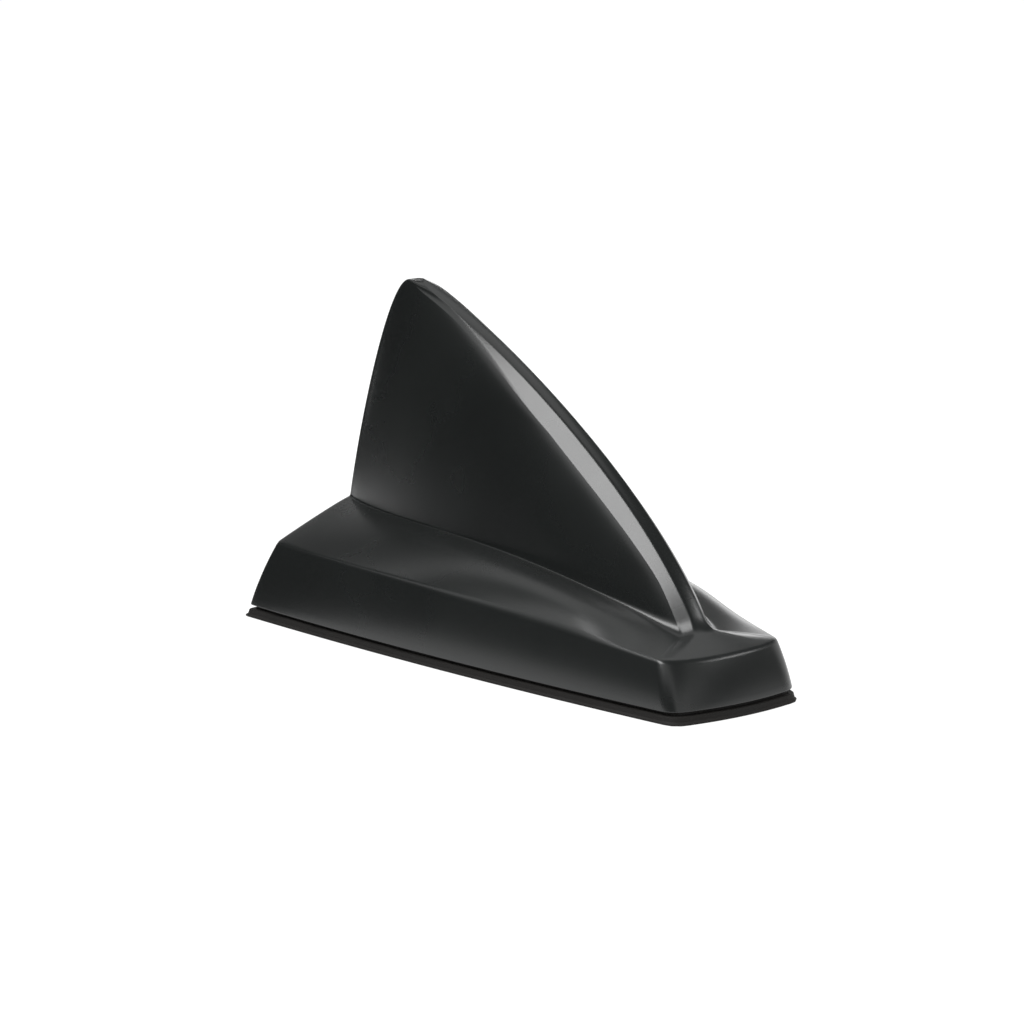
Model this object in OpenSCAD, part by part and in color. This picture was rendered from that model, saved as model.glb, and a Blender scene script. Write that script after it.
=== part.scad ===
// Shark fin roof aerial for a car. Millimetres, +X to the front of the car, +Z up.
// The origin is on the axis of the hollow stud, in the plane of the roof skin.

/* [Base outline] */
// From the stud axis back to the rear corners of the base
rear_reach = 62.2; // [56:0.2:70]
// From the stud axis forward to the front corners of the base
front_reach = 70.6; // [66:0.2:80]
// Width across the rear corners
rear_width = 64.6; // [60:0.2:72]
// Width across the front corners
front_width = 33.4; // [31:0.2:38]
// How far each long side bulges past a straight line
side_bulge = 2.2; // [1:0.1:3]
// How far the rear edge bows back at its middle
rear_bow = 8; // [5:0.5:10]
// How far the front edge bows forward at its middle
front_bow = 1.2; // [0.4:0.1:2]
// Plan radius of the rear corners
rear_corner = 0.8; // [0.6:0.1:2]
// Plan radius of the front corners
front_corner = 3.6; // [3:0.2:5]

/* [Pedestal walls] */
// Height of the shoulder crease at the rear corners
shoulder_rear = 17; // [16:0.5:19]
// Height of the shoulder crease at the front corners
shoulder_front = 12; // [11.5:0.5:13]
// How far the shoulder arches above a straight line between them
shoulder_arch = 2; // [1:0.1:3]
// How far the side wall leans in at the rear
lean_rear = 6.4; // [5:0.1:7]
// How far the side wall leans in at the front
lean_front = 2.1; // [1.6:0.1:2.6]
// How far the rear wall leans in at the corners
lean_back = 3.3; // [3:0.1:4.5]
// How far the front wall leans in
lean_nose = 4.1; // [3.5:0.1:4.8]
// How far the walls swell out half way up
wall_swell = 0.5; // [0.2:0.1:0.8]
// Radius of the shoulder crease
shoulder_round = 0.8; // [0.5:0.1:1]

/* [Fin] */
// Height of the fin above the roof skin
fin_height = 76.8; // [74:0.2:84]
// Place of the fin's highest point along the car
tip_x = -37.5; // [-42:0.5:-33]
// From the front corners of the base back to the foot of the leading edge
nose_back = 12.2; // [11:0.2:14]
// Height of the foot of the leading edge
nose_foot = 15.6; // [15:0.1:16.5]
// Steepness of the leading edge at its foot, in degrees
lead_steep = 58.5; // [54:0.5:62]
// Steepness of the leading edge at the tip, in degrees
lead_shallow = 17.5; // [14:0.5:20]
// From the rear corners of the base back to the foot of the trailing edge
trail_back = 2.4; // [2:0.2:3.6]
// Height of the foot of the trailing edge
trail_foot = 23.6; // [23:0.1:25]
// Steepness of the trailing edge at its foot, in degrees
trail_steep = 77.5; // [74:0.5:82]
// How strongly the front of the deck domes between shoulder and fin
deck_dome = 3.6; // [2:0.1:4]
// How far the foot of the fin arches above a straight line
foot_arch = 5.2; // [4.6:0.1:6]
// Thickness of the trailing edge at its foot
trail_thick = 4.6; // [4.4:0.1:6]
// Thickness of the fin just under its tip
tip_thick = 3.8; // [3.4:0.1:5]
// What the belly of the fin adds to its half thickness
belly = 6.4; // [5.6:0.1:7]
// Width of the flat along the leading edge
ridge_width = 3.4; // [3:0.1:4]
// Depth of the facet each side of that flat
facet = 3.1; // [2.4:0.1:3.4]
// Flare of the fin into the deck at its rear end
flare_rear = 2.4; // [2:0.1:3]
// Flare of the fin into the deck at the nose
flare_nose = 4.2; // [3:0.1:4.6]
// What the flare gains half way along
flare_mid = 0.6; // [0.2:0.1:1.4]

/* [Cover moulding] */
// Wall of the pedestal
cover_wall = 2.4; // [2:0.1:2.6]
// Wall of the fin
fin_wall = 2; // [1.8:0.1:2.2]
// Diameter of the screw bosses
boss_dia = 6.4; // [6:0.1:7]
// Thickness of the gussets under the deck
gusset = 1.4; // [1.2:0.1:2]

/* [Seals] */
// Height of the visible rubber strip
seal_height = 2.2; // [2:0.1:2.6]
// Height of the shadow groove above the strip
groove = 0.4; // [0.3:0.05:0.6]
// Depth of the shadow groove
groove_depth = 1.1; // [0.8:0.1:1.4]
// How far the lip of the strip stands out at the roof
lip_out = 0.35; // [0.2:0.05:0.5]
// Height of that lip
lip_height = 0.7; // [0.5:0.1:1]
// Thickness of the rubber under the base plate
seal_plate = 1.6; // [1.4:0.1:1.8]
// Width of the cord ring round the base plate
ring_width = 2; // [1.6:0.1:2.4]
// Height of the cord ring
ring_height = 1.6; // [1.4:0.1:1.8]
// Width of the foam ring round the stud
stud_ring = 6; // [5:0.5:7]

/* [Base plate and fixing] */
// Thickness of the die-cast base plate
plate_thick = 3.4; // [3.2:0.1:4]
// Outside diameter of the hollow threaded stud
stud_dia = 14; // [13:0.5:16]
// Bore of the stud for the leads
stud_bore = 10; // [9:0.5:11]
// Length of the stud below the roof skin
stud_length = 17; // [15:1:20]
// Side of the square collar that stops the stud turning
collar = 15; // [15:0.1:17]
// Diameter of the stud's flange in the base plate
flange_dia = 24; // [23:0.5:26]
// Thickness of that flange
flange_thick = 1.5; // [1.2:0.1:1.8]
// Thickness of the roof sheet that is clamped
roof_sheet = 0.8; // [0.6:0.1:1.2]
// Across flats of the nut
nut_flats = 22; // [21:0.5:24]
// Height of the nut
nut_height = 7; // [6:0.5:9]
// Thickness of the claw washer
washer_thick = 1.2; // [1:0.1:1.6]
// Outside diameter of the claw washer
washer_dia = 27; // [26:0.5:30]
// Number of claws on the washer
claws = 8; // [6:1:10]
// Shank diameter of the cover screws
screw_dia = 2.9; // [2.6:0.1:3.2]
// Head diameter of the cover screws
screw_head = 5.4; // [5:0.1:6]
// Head height of the cover screws
screw_head_height = 1.7; // [1.5:0.1:1.9]

/* [Electronics] */
// Gap under the main board
board_gap = 2.2; // [2:0.1:2.6]
// Thickness of the main board
board_thick = 1.2; // [1:0.1:1.6]
// From the rear corners of the base to the rear end of the main board
board_back_gap = 13.2; // [11.2:0.2:14.2]
// From the front corners of the base to the front end of the main board
board_nose_gap = 25.6; // [25:0.2:27]
// Width of the main board at its rear end
board_rear_width = 34; // [33:0.5:35]
// Width of the main board at its front end
board_front_width = 26; // [25.5:0.5:27]
// Shank diameter of the board screws
board_screw = 2; // [1.8:0.1:2.2]
// Diameter of the socket block for the leads
block_dia = 10.8; // [10.4:0.1:11.2]
// Height of the socket block
block_reach = 6; // [5:0.1:6.4]
// Diameter of each socket
socket_dia = 3; // [2.6:0.1:3.4]
// Side of the square ceramic patch
patch_side = 24; // [22:0.5:25]
// Thickness of the ceramic patch
patch_thick = 3.4; // [3:0.1:4]
// Thickness of the sticky pad under the patch
pad_thick = 0.6; // [0.5:0.1:0.8]
// From the front end of the main board back to the middle of the patch
patch_setback = 19; // [18:0.5:20]
// Length of the shield can
can_length = 26; // [24:1:28]
// Width of the shield can
can_width = 11; // [10:0.5:12]
// Height of the shield can
can_height = 2.8; // [2.4:0.1:3.2]
// Height of the upright phone board above the main board
phone_height = 26; // [22:1:28]
// Width of the phone board
phone_width = 17; // [15:0.5:18]
// Thickness of the phone board
phone_thick = 1; // [0.8:0.1:1.4]

/* [Radio rod and top load] */
// Place of the radio coil along the car
coil_x = -12; // [-14:0.5:-10]
// Outside diameter of the coil
coil_dia = 8; // [7:0.5:9]
// Diameter of the coil's wire
coil_wire = 0.9; // [0.8:0.1:1]
// Number of turns
coil_turns = 15; // [12:1:18]
// Thickness of the plastic carrier web
web_thick = 2; // [1.8:0.1:2.2]
// Thickness of the top load sheet
load_sheet = 0.4; // [0.3:0.05:0.5]
// Height of the lower edge of the top load
load_bottom = 38; // [36:0.5:40]
// Height of the folded top of the top load
load_top = 58; // [56:0.5:59]
// From the foot of the trailing edge forward to the rear end of the top load
load_setback = 21.6; // [20.8:0.1:23]
// Width of the top load at its lower edge
load_width = 6; // [5.6:0.1:6.4]
// Width of the top load at its fold
load_fold = 2; // [1.9:0.1:2.2]

/* [Hidden] */
fit = 0.3;
running = 0.15;
press = 0.05;
round_faces = 48;
eps = 0.01;

// Levels of the stacked pieces
rim_z = seal_height + groove;
plate_top = seal_plate + plate_thick;
board_z = plate_top + board_gap;
board_top = board_z + board_thick;
nose_x = front_reach - nose_back;
trail_x = -rear_reach - trail_back;
board_rear = board_back_gap - rear_reach;
board_front = front_reach - board_nose_gap;
patch_x = board_front - patch_setback;
washer_top = -roof_sheet;
nut_top = washer_top - washer_thick;

// Points round half of a closed outline, from the middle of the rear edge to the middle of the front
rear_steps = 4;
rear_turn = 2;
side_steps = 17;
front_turn = 4;
front_steps = 3;
corner_a = rear_steps;
corner_b = corner_a + rear_turn;
corner_c = corner_b + side_steps;
corner_d = corner_c + front_turn;
half_steps = corner_d + front_steps;
loop_steps = 2 * half_steps;

function mix(a, b, t) = a + (b - a) * t;
function arch(t) = 4 * t * (1 - t);
function ease(t) = let (c = min(1, max(0, t))) c * c * (3 - 2 * c);
function along(x) = (x + rear_reach) / (rear_reach + front_reach);

// Long sides and shoulder at a share s of the length, 0 at the rear corners
function foot_half(s) = mix(rear_width, front_width, s) / 2 + side_bulge * arch(s);
function lean(s) = lean_front + (lean_rear - lean_front) * pow(max(0, 1 - s), 4);
function shoulder_z(s) = mix(shoulder_rear, shoulder_front, s) + shoulder_arch * arch(s);
function shoulder_half(s) = foot_half(s) - lean(s);

// Bow of the rear edge at a share v of its half width
function rear_curve(v) = 1 - pow(abs(v), 1.3);

// Half outline of the pedestal: place i, height z, and the wall's thickness taken off
function gable_z(v) = mix(shoulder_rear, trail_foot - 0.5, pow(1 - v, 1.4));
function rear_share(i) = i / rear_steps * 0.94;
function shoulder_point(i) =
    let (w0 = shoulder_half(0), w1 = shoulder_half(1))
    let (x0 = lean_back - rear_reach, x1 = front_reach - lean_nose)
    let (bow = -trail_x - rear_reach + lean_back)
    i <= corner_a ? let (v = rear_share(i)) [x0 - bow * rear_curve(v), w0 * v, gable_z(v)] :
    i < corner_b ? let (a = 90 * (i - corner_a) / rear_turn, v = rear_share(corner_a))
        [x0 - bow * rear_curve(v) + rear_corner * (1 - cos(a)), mix(w0 * v, w0, sin(a)), gable_z(v)] :
    i <= corner_c ? let (x = mix(x0 + rear_corner, x1 - front_corner, (i - corner_b) / side_steps),
        s = along(x)) [x, shoulder_half(s), shoulder_z(s)] :
    i <= corner_d ? let (a = 90 * (i - corner_c) / front_turn)
        [x1 - front_corner * (1 - sin(a)), w1 + 0.6 * cos(a) - front_corner * (1 - cos(a)),
        shoulder_z(along(x1))] :
    let (v = 1 - (i - corner_d) / front_steps)
        [x1 + front_bow * 1.4 * (1 - v * v), (w1 - front_corner) * v, shoulder_z(along(x1))];
function foot_point(i) =
    let (w0 = foot_half(0), w1 = foot_half(1))
    i <= corner_a ? let (v = rear_share(i)) [-rear_reach - rear_bow * rear_curve(v), w0 * v, 0] :
    i < corner_b ? let (a = 90 * (i - corner_a) / rear_turn, v = rear_share(corner_a))
        [-rear_reach - rear_bow * rear_curve(v) + rear_corner * (1 - cos(a)),
        mix(w0 * v, w0, sin(a)), 0] :
    i <= corner_c ? let (x = mix(rear_corner - rear_reach, front_reach - front_corner,
        (i - corner_b) / side_steps)) [x, foot_half(along(x)), 0] :
    i <= corner_d ? let (a = 90 * (i - corner_c) / front_turn)
        [front_reach - front_corner * (1 - sin(a)),
        w1 + 0.6 * cos(a) - front_corner * (1 - cos(a)), 0] :
    let (v = 1 - (i - corner_d) / front_steps)
        [front_reach + front_bow * (1 - v * v), (w1 - front_corner) * v, 0];

// Slope of the long side in plan, and a wall's thickness taken off a point along its own normal
function side_slope(s) = ((front_width - rear_width) / 2 + 4 * side_bulge * (1 - 2 * s)) /
    (rear_reach + front_reach);
function shrink(p, i, off) =
    i <= corner_a ? [p[0] + off, p[1] * (1 - off / foot_half(0)), p[2]] :
    i < corner_b ? [p[0] + off, p[1] - off, p[2]] :
    i <= corner_c ? let (shift = off * (1 - (i - corner_b) / side_steps))
        [p[0] + shift, p[1] - off + shift * side_slope(along(p[0])), p[2]] :
    i < corner_d ? let (a = 90 * (i - corner_c) / front_turn)
        [p[0] - off * sin(a), max(0, p[1] - off * cos(a)), p[2]] :
    [p[0] - off, p[1], p[2]];
function wall_point(i, z, off) =
    let (a = foot_point(i), b = shoulder_point(i), t = z / b[2])
    shrink([mix(a[0], b[0], t), mix(a[1], b[1], t), z], i, off - wall_swell * arch(min(1, t)));

// Leading and trailing edges in side view, 0 at the foot and 1 at the tip
function curve(a, b, c, d, t) = a * pow(1 - t, 3) + b * 3 * t * pow(1 - t, 2) +
    c * 3 * t * t * (1 - t) + d * pow(t, 3);
function ray(angle) = [cos(angle), sin(angle)];
lead_foot = [nose_x, nose_foot];
lead_tip = [tip_x, fin_height];
lead_pull = norm(lead_tip - lead_foot) * 0.264;
trail_low = [trail_x, trail_foot];
trail_tip = [tip_x - 3, fin_height - 0.2];
trail_pull = norm(trail_tip - trail_low);
function lead(t) = curve(lead_foot, lead_foot + ray(180 - lead_steep) * lead_pull,
    lead_tip - ray(180 - lead_shallow) * lead_pull, lead_tip, t);
function lead_normal(t) = let (d = lead(t + eps) - lead(t - eps)) [d[1], -d[0]] / norm(d);
function trail(t) = curve(trail_low, trail_low + ray(trail_steep) * trail_pull * 0.347,
    trail_tip + ray(161) * trail_pull * 0.135, trail_tip, t);

// Section of the fin at height share t: half thickness, ridge and facet
function tip_round(t) = t < 0.93 ? 1 : sqrt(max(0.12, 1 - pow((t - 0.93) / 0.07, 2)));
function facet_depth(t) = facet * (1 + 0.3 * arch(min(1, 2 * t))) * ease((0.9 - t) / 0.42);
function ridge_half(t, off) = max(0.3, ridge_width / 2 - 0.414 * off) * tip_round(t);
function nose_half(t, off) = ridge_half(t, 0) + facet_depth(t) * 0.92 + 0.25 * tip_round(t) - off;
function tail_half(t, off) = mix(trail_thick, tip_thick, t) / 2 * tip_round(t) - off;
function fin_half(q, t, off) = max(0.45, mix(tail_half(t, off), nose_half(t, off), q)
    + belly * pow(arch(q), 0.8) * pow(1 - t, 1.3));
function foot_rise(q) = foot_arch * arch(pow(max(0, q), 1.4));
function flare(q) = mix(flare_rear, flare_nose, q) + flare_mid * arch(q);
function fin_point(i, t, off) =
    let (n = lead_normal(t), front = lead(t) - n * (facet_depth(t) + 0.414 * off))
    let (ridge = lead(t) - n * off, rear = trail(t) + [off, 0], r = 1.4 * tip_round(t))
    let (drop = off * pow(1 - t, 3))
    i <= corner_a ? let (v = i / rear_steps) [rear[0], max(0.2, tail_half(t, off) - r / 2) * v,
        rear[1] - drop] :
    i < corner_b ? [rear[0] + r * 0.3, max(0.3, tail_half(t, off) - r * 0.15), rear[1] - drop] :
    i <= corner_c ? let (q = (i - corner_b) / side_steps, p = mix(rear + [r, 0], front, q))
        [p[0], fin_half(q, t, off), p[1] + foot_rise(q) * pow(1 - t, 2) - drop] :
    i <= corner_d ? let (v = (i - corner_c) / front_turn, p = mix(front, ridge, v))
        [p[0], mix(fin_half(1, t, off), ridge_half(t, off), v), p[1] - drop] :
    let (v = (i - corner_d) / front_steps, p = ridge + n * 0.2 * arch(v / 2))
        [p[0], ridge_half(t, off) * (1 - v), p[1] - drop];

// Rows of the loft: pedestal wall, shoulder, deck, flare and fin
function flare_at(i) = i <= corner_b ? flare_rear : i >= corner_c ? flare_nose :
    flare((i - corner_b) / side_steps);
fin_rise = fin_height - (trail_foot + nose_foot) / 2;
function fin_row(i, level, off) = let (t0 = flare_at(i) / fin_rise)
    fin_point(i, mix(t0, 1, level), off);
function deck_edge(i, off) = let (s = shoulder_point(i))
    shrink([s[0], s[1], s[2] - off], i, off);
function dome(u, q) = 1 - pow(max(0, 1 - u),
    1.15 + deck_dome * (pow(min(1, max(0, q)), 2.4) - 0.7 * ease((q - 0.86) / 0.14)));
function deck_point(i, d, off) =
    let (s = deck_edge(i, off), c = fin_point(i, 0, off), span = norm(c - s))
    let (u = d * (1 - min(0.8, flare_at(i) / span)), p = mix(s, c, u))
    [p[0], p[1], mix(s[2], c[2], dome(u, (i - corner_b) / side_steps))];
function flare_point(i, u, off) =
    let (a = deck_point(i, 1, off), b = fin_point(i, 0, off), c = fin_row(i, 0, off))
    a * pow(1 - u, 2) + b * 2 * u * (1 - u) + c * u * u;
function crease_point(i, step, off) =
    let (s = deck_edge(i, off), w = wall_point(i, s[2] - shoulder_round, off))
    let (span = norm(deck_point(i, 1, off) - s), in = deck_point(i, min(0.3, shoulder_round / span), off))
    step == 0 ? w : step == 1 ? (w + in + 2 * s) / 4 : in;

outer_wall = [0, 0.35];
fin_levels = [0, 0.07, 0.15, 0.24, 0.33, 0.42, 0.51, 0.6, 0.68, 0.76, 0.83, 0.89, 0.93, 0.96, 0.985, 1];
inner_levels = [0, 0.15, 0.3, 0.45, 0.55, 0.64];

// One ring of the loft: half outlines mirrored across the middle of the car
function ring(half) = [for (j = [0:loop_steps - 1])
    let (near = j <= half_steps, p = half[near ? j : loop_steps - j]) [p[0], near ? -p[1] : p[1], p[2]]];
function half_row(kind, v, off) = [for (i = [0:half_steps])
    let (p = kind == "wall" ? wall_point(i, mix(rim_z, deck_edge(i, off)[2] - shoulder_round, v), off) :
        kind == "crease" ? crease_point(i, v, off) :
        kind == "deck" ? deck_point(i, v, off) :
        kind == "flare" ? flare_point(i, v, off) : fin_row(i, v, off))
    i == 0 || i == half_steps ? [p[0], 0, p[2]] : p];
outer_rows = concat(
    [for (v = outer_wall) ring(half_row("wall", v, 0))],
    [for (v = [0:2]) ring(half_row("crease", v, 0))],
    [for (v = [0.25, 0.55, 1]) ring(half_row("deck", v, 0))],
    [for (v = [0.25, 0.5, 0.75]) ring(half_row("flare", v, 0))],
    [for (v = fin_levels) ring(half_row("fin", v, 0))]);
inner_rows = concat(
    [for (k = [len(inner_levels) - 1:-1:0]) ring(half_row("fin", inner_levels[k], fin_wall))],
    [ring(half_row("flare", 0.5, fin_wall))],
    [ring(half_row("deck", 0.9, cover_wall))],
    [ring(half_row("deck", 0.4, cover_wall))],
    [ring(half_row("crease", 2, cover_wall))],
    [ring(half_row("wall", 1, cover_wall))],
    [ring(half_row("wall", 0, cover_wall))]);

// Closed skin over a list of rings, with a fan at each end and mirrored diagonals
module skin(rows) {
    rings = len(rows);
    points = [for (row = rows) for (p = row) p];
    first = sum_point(rows[0]) / loop_steps;
    last = sum_point(rows[rings - 1]) / loop_steps;
    n = rings * loop_steps;
    sides = [for (k = [0:rings - 2]) for (j = [0:loop_steps - 1])
        let (m = (j + 1) % loop_steps, a = k * loop_steps + j, b = a + loop_steps)
        let (d = k * loop_steps + m, c = d + loop_steps)
        each j < half_steps ? [[a, b, c], [a, c, d]] : [[a, b, d], [b, c, d]]];
    start = [for (j = [0:loop_steps - 1]) [j, (j + 1) % loop_steps, n]];
    top = n - loop_steps;
    end = [for (j = [0:loop_steps - 1]) [top + (j + 1) % loop_steps, top + j, n + 1]];
    polyhedron(points = concat(points, [first, last]), faces = concat(sides, start, end));
}
function sum_point(row, i = 0) = i >= len(row) ? [0, 0, 0] : row[i] + sum_point(row, i + 1);

// Flat outline of the pedestal at height z, with a thickness taken off
function outline(z, off) = [for (p = ring([for (i = [0:half_steps]) wall_point(i, z, off)])) [p[0], p[1]]];

// Height of the deck over a place on the base
function deck_height(x, y) =
    let (s = along(x), q = (x - trail_x) / (nose_x - trail_x), w = shoulder_half(s))
    let (h = fin_half(q, 0, 0), top = mix(trail_foot, nose_foot, q) + foot_rise(q))
    mix(shoulder_z(s), top, dome((w - abs(y)) / (w - h), q));

// Places of the four screws that hold the cover to the base plate
rear_boss_x = -rear_reach + 12;
front_boss_x = front_reach - 20;
function boss_y(x) = foot_half(along(x)) - max(lean(along(x)) + cover_wall + boss_dia / 2 - 0.6,
    cover_wall + ring_width + screw_head / 2 + 1.1);
cover_posts = [for (x = [rear_boss_x, front_boss_x]) for (side = [-1, 1]) [x, side * boss_y(x)]];
gusset_places = [-24, 2, 22];
screw_reach = 6;

// Places of the board's screws
board_posts = [for (side = [-1, 1]) each [[board_rear + 4, side * (board_rear_width / 2 - 3)],
    [board_front - 3.2, side * (board_front_width / 2 - 2)]]];
post_dia = 3.8;

module cover() {
    color("#2a2d2d") difference() {
        union() {
            skin(concat(inner_rows, outer_rows));
            for (p = cover_posts) cover_boss(p);
            for (x = gusset_places) for (side = [0, 1]) mirror([0, side, 0]) deck_gusset(x);
        }
        for (p = cover_posts) translate([p[0], p[1], plate_top - 1])
            cylinder(h = screw_reach + 2, d = screw_dia + 0.2, $fn = round_faces);
    }
}
module cover_boss(p) {
    y = abs(p[1]);
    r = boss_dia / 2;
    low = min([for (side = [-r, r]) deck_height(p[0] + side, y + r)]);
    fall = (deck_height(p[0], y - r) - deck_height(p[0], y + r)) / boss_dia;
    intersection() {
        translate([p[0], p[1], plate_top]) cylinder(h = fin_height / 2, d = boss_dia, $fn = round_faces);
        translate([p[0], p[1] + sign(p[1]) * r, low - cover_wall * 0.6])
            rotate([sign(p[1]) * -atan(fall), 0, 0]) translate([-boss_dia, -3 * boss_dia, -fin_height / 2])
                cube([2 * boss_dia, 6 * boss_dia, fin_height / 2]);
    }
}
module deck_gusset(x) {
    s = along(x);
    low = shoulder_z(s) - 6.5;
    out = foot_half(s) - lean(s) * low / shoulder_z(s) - cover_wall / 2;
    knee = shoulder_half(s) - cover_wall * 0.6;
    inner = shoulder_half(s) - 8;
    points = [[-out, low], [-knee, shoulder_z(s) - cover_wall * 0.6],
        [-inner, deck_height(x, inner) - cover_wall * 0.55]];
    translate([x + gusset / 2, 0, 0]) rotate([90, 0, -90]) linear_extrude(gusset)
        polygon([for (p = points) [-p[0], p[1]]]);
}

module base_seal() {
    color("#1d1b1a") difference() {
        union() {
            linear_extrude(lip_height) polygon(outline(0, -lip_out));
            linear_extrude(seal_height) polygon(outline(seal_height / 2, 0));
            linear_extrude(rim_z) polygon(outline(rim_z, groove_depth));
        }
        translate([0, 0, seal_plate]) linear_extrude(rim_z) polygon(outline(rim_z, cover_wall + fit));
        translate([0, 0, -1]) cylinder(h = 5, d = stud_ring_dia() + 2 * fit, $fn = round_faces);
        for (p = cover_posts) translate([p[0], p[1], -1])
            cylinder(h = 5, d = screw_head + 1.2, $fn = round_faces);
    }
}
function stud_ring_dia() = collar * 1.42 + 2 * stud_ring;

module cover_seal() {
    color("#181818") translate([0, 0, plate_top - ring_height - 0.6]) linear_extrude(ring_height)
        difference() {
            polygon(outline(plate_top, cover_wall + 0.15));
            polygon(outline(plate_top, cover_wall + ring_width + fit));
        }
}

module base_plate() {
    ring_z = plate_top - ring_height - 0.6;
    edge = cover_wall + fit + 0.1;
    core = cover_wall + ring_width + fit;
    hole = collar + 2 * press;
    color("#8d9092") difference() {
        union() {
            translate([0, 0, seal_plate]) linear_extrude(ring_z - seal_plate)
                polygon(outline(plate_top, edge));
            translate([0, 0, seal_plate]) linear_extrude(plate_thick) polygon(outline(plate_top, core));
            translate([0, 0, ring_z + ring_height]) linear_extrude(0.6)
                polygon(outline(plate_top, edge));
            for (p = board_posts) translate([p[0], p[1], plate_top - eps])
                cylinder(h = board_gap + eps, d = post_dia, $fn = round_faces);
            plate_ribs();
        }
        plate_pockets();
        translate([-hole / 2, -hole / 2, 0]) cube([hole, hole, plate_top + 1]);
        translate([0, 0, plate_top - flange_thick])
            cylinder(h = flange_thick + 1, d = flange_dia + 2 * press, $fn = round_faces);
        for (p = cover_posts) translate([p[0], p[1], 0]) {
            cylinder(h = plate_top + 1, d = screw_dia + 0.4, $fn = round_faces);
            cylinder(h = seal_plate + screw_head_height, d = screw_head + 0.4, $fn = round_faces);
        }
        for (p = board_posts) translate([p[0], p[1], plate_top - 1.6])
            cylinder(h = board_gap + 3, d = board_screw + 0.2, $fn = round_faces);
    }
}

module hollow_stud() {
    half = collar / 2;
    color("#b7babc") difference() {
        union() {
            translate([0, 0, -stud_length])
                cylinder(h = stud_length + eps, d = stud_dia, $fn = round_faces);
            translate([-half, -half, -roof_sheet])
                cube([collar, collar, roof_sheet + plate_top - flange_thick + eps]);
            translate([0, 0, plate_top - flange_thick])
                cylinder(h = flange_thick, d = flange_dia, $fn = round_faces);
        }
        translate([0, 0, -stud_length - 1])
            cylinder(h = stud_length + plate_top + 2, d = stud_bore, $fn = round_faces);
        translate([0, 0, board_z - block_reach - 0.2])
            cylinder(h = block_reach + 1, d = block_dia + 2 * running, $fn = round_faces);
        translate([0, 0, -stud_length - eps])
            cylinder(h = 0.8, d1 = stud_bore + 1.6, d2 = stud_bore, $fn = round_faces);
    }
}
pocket_x = [-46, -30, 24, 40];
pocket_length = 12;
module plate_ribs() {
    reach = flange_dia / 2 + 2;
    for (side = [-1, 1]) {
        for (end = [[-30, 30 - reach], [reach, 26 - reach]])
            translate([end[0], side * 6 - 0.6, plate_top - eps]) cube([end[1], 1.2, board_gap - 0.8]);
    }
    translate([-31.2, -11, plate_top - eps]) cube([1.2, 22, board_gap - 0.8]);
}
module plate_pockets() {
    for (x = pocket_x) {
        w = foot_half(along(x)) - cover_wall - ring_width - 13;
        translate([x - pocket_length / 2, -w, -1]) cube([pocket_length, 2 * w, seal_plate + 2.2]);
    }
}

module stud_seal() {
    color("#24262a") difference() {
        cylinder(h = seal_plate, d = stud_ring_dia(), $fn = round_faces);
        translate([-collar / 2 - fit, -collar / 2 - fit, -1])
            cube([collar + 2 * fit, collar + 2 * fit, 5]);
    }
}

module claw_washer() {
    color("#b9bcbe") translate([0, 0, nut_top]) difference() {
        union() {
            cylinder(h = washer_thick - 0.5, d = washer_dia, $fn = round_faces);
            for (k = [0:claws - 1]) rotate([0, 0, 360 * k / claws])
                translate([washer_dia / 2 - 4, 0, 0]) washer_claw();
        }
        translate([0, 0, -1]) cylinder(h = 4, d = stud_dia + 0.5, $fn = round_faces);
    }
}
module washer_claw() {
    rotate([90, 0, 0]) translate([0, 0, -1]) linear_extrude(2)
        polygon([[0, 0], [3.6, 0], [3.6, washer_thick - 0.05], [2.8, washer_thick - 0.05], [1.2, 0.6]]);
}

module stud_nut() {
    color("#c3c6c8") translate([0, 0, nut_top - nut_height]) difference() {
        union() {
            intersection() {
                cylinder(h = nut_height, d = nut_flats / cos(30), $fn = 6);
                cylinder(h = nut_height, d1 = nut_flats * 1.02, d2 = nut_flats * 1.6, $fn = round_faces);
            }
            translate([0, 0, nut_height - 1.6]) cylinder(h = 1.6, d = nut_flats + 3, $fn = round_faces);
        }
        translate([0, 0, -1]) cylinder(h = nut_height + 2, d = stud_dia + 0.3, $fn = round_faces);
        translate([0, 0, -eps]) cylinder(h = 0.7, d1 = stud_dia + 1.7, d2 = stud_dia + 0.3, $fn = round_faces);
    }
}

module cover_screws() {
    color("#9aa0a4") for (p = cover_posts) translate([p[0], p[1], seal_plate]) difference() {
        union() {
            cylinder(h = screw_head_height, d = screw_head, $fn = round_faces);
            cylinder(h = plate_thick + screw_reach, d = screw_dia, $fn = round_faces);
        }
        translate([0, 0, -eps]) cylinder(h = 1, d = 2.4, $fn = 6);
    }
}

module main_board() {
    notch = 2.2;
    rear = board_rear_width / 2;
    front = board_front_width / 2;
    color("#1f5a3c") translate([0, 0, board_z]) difference() {
        linear_extrude(board_thick) polygon([
            [board_rear, -rear + notch], [board_rear + notch, -rear], [0, -rear],
            [board_front - notch, -front], [board_front, -front + notch],
            [board_front, front - notch], [board_front - notch, front],
            [0, rear], [board_rear + notch, rear], [board_rear, rear - notch]]);
        for (p = board_posts) translate([p[0], p[1], -1])
            cylinder(h = 4, d = board_screw + 0.4, $fn = round_faces);
    }
}

module board_screws() {
    color("#b4b7b9") for (p = board_posts) translate([p[0], p[1], 0]) difference() {
        union() {
            translate([0, 0, board_top]) cylinder(h = 1.2, d = post_dia, $fn = round_faces);
            translate([0, 0, board_z - 2.4]) cylinder(h = 2.4 + board_thick + 0.5, d = board_screw,
                $fn = round_faces);
        }
        translate([0, 0, board_top + 0.5]) cylinder(h = 1, d = 1.8, $fn = 6);
    }
}

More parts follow.
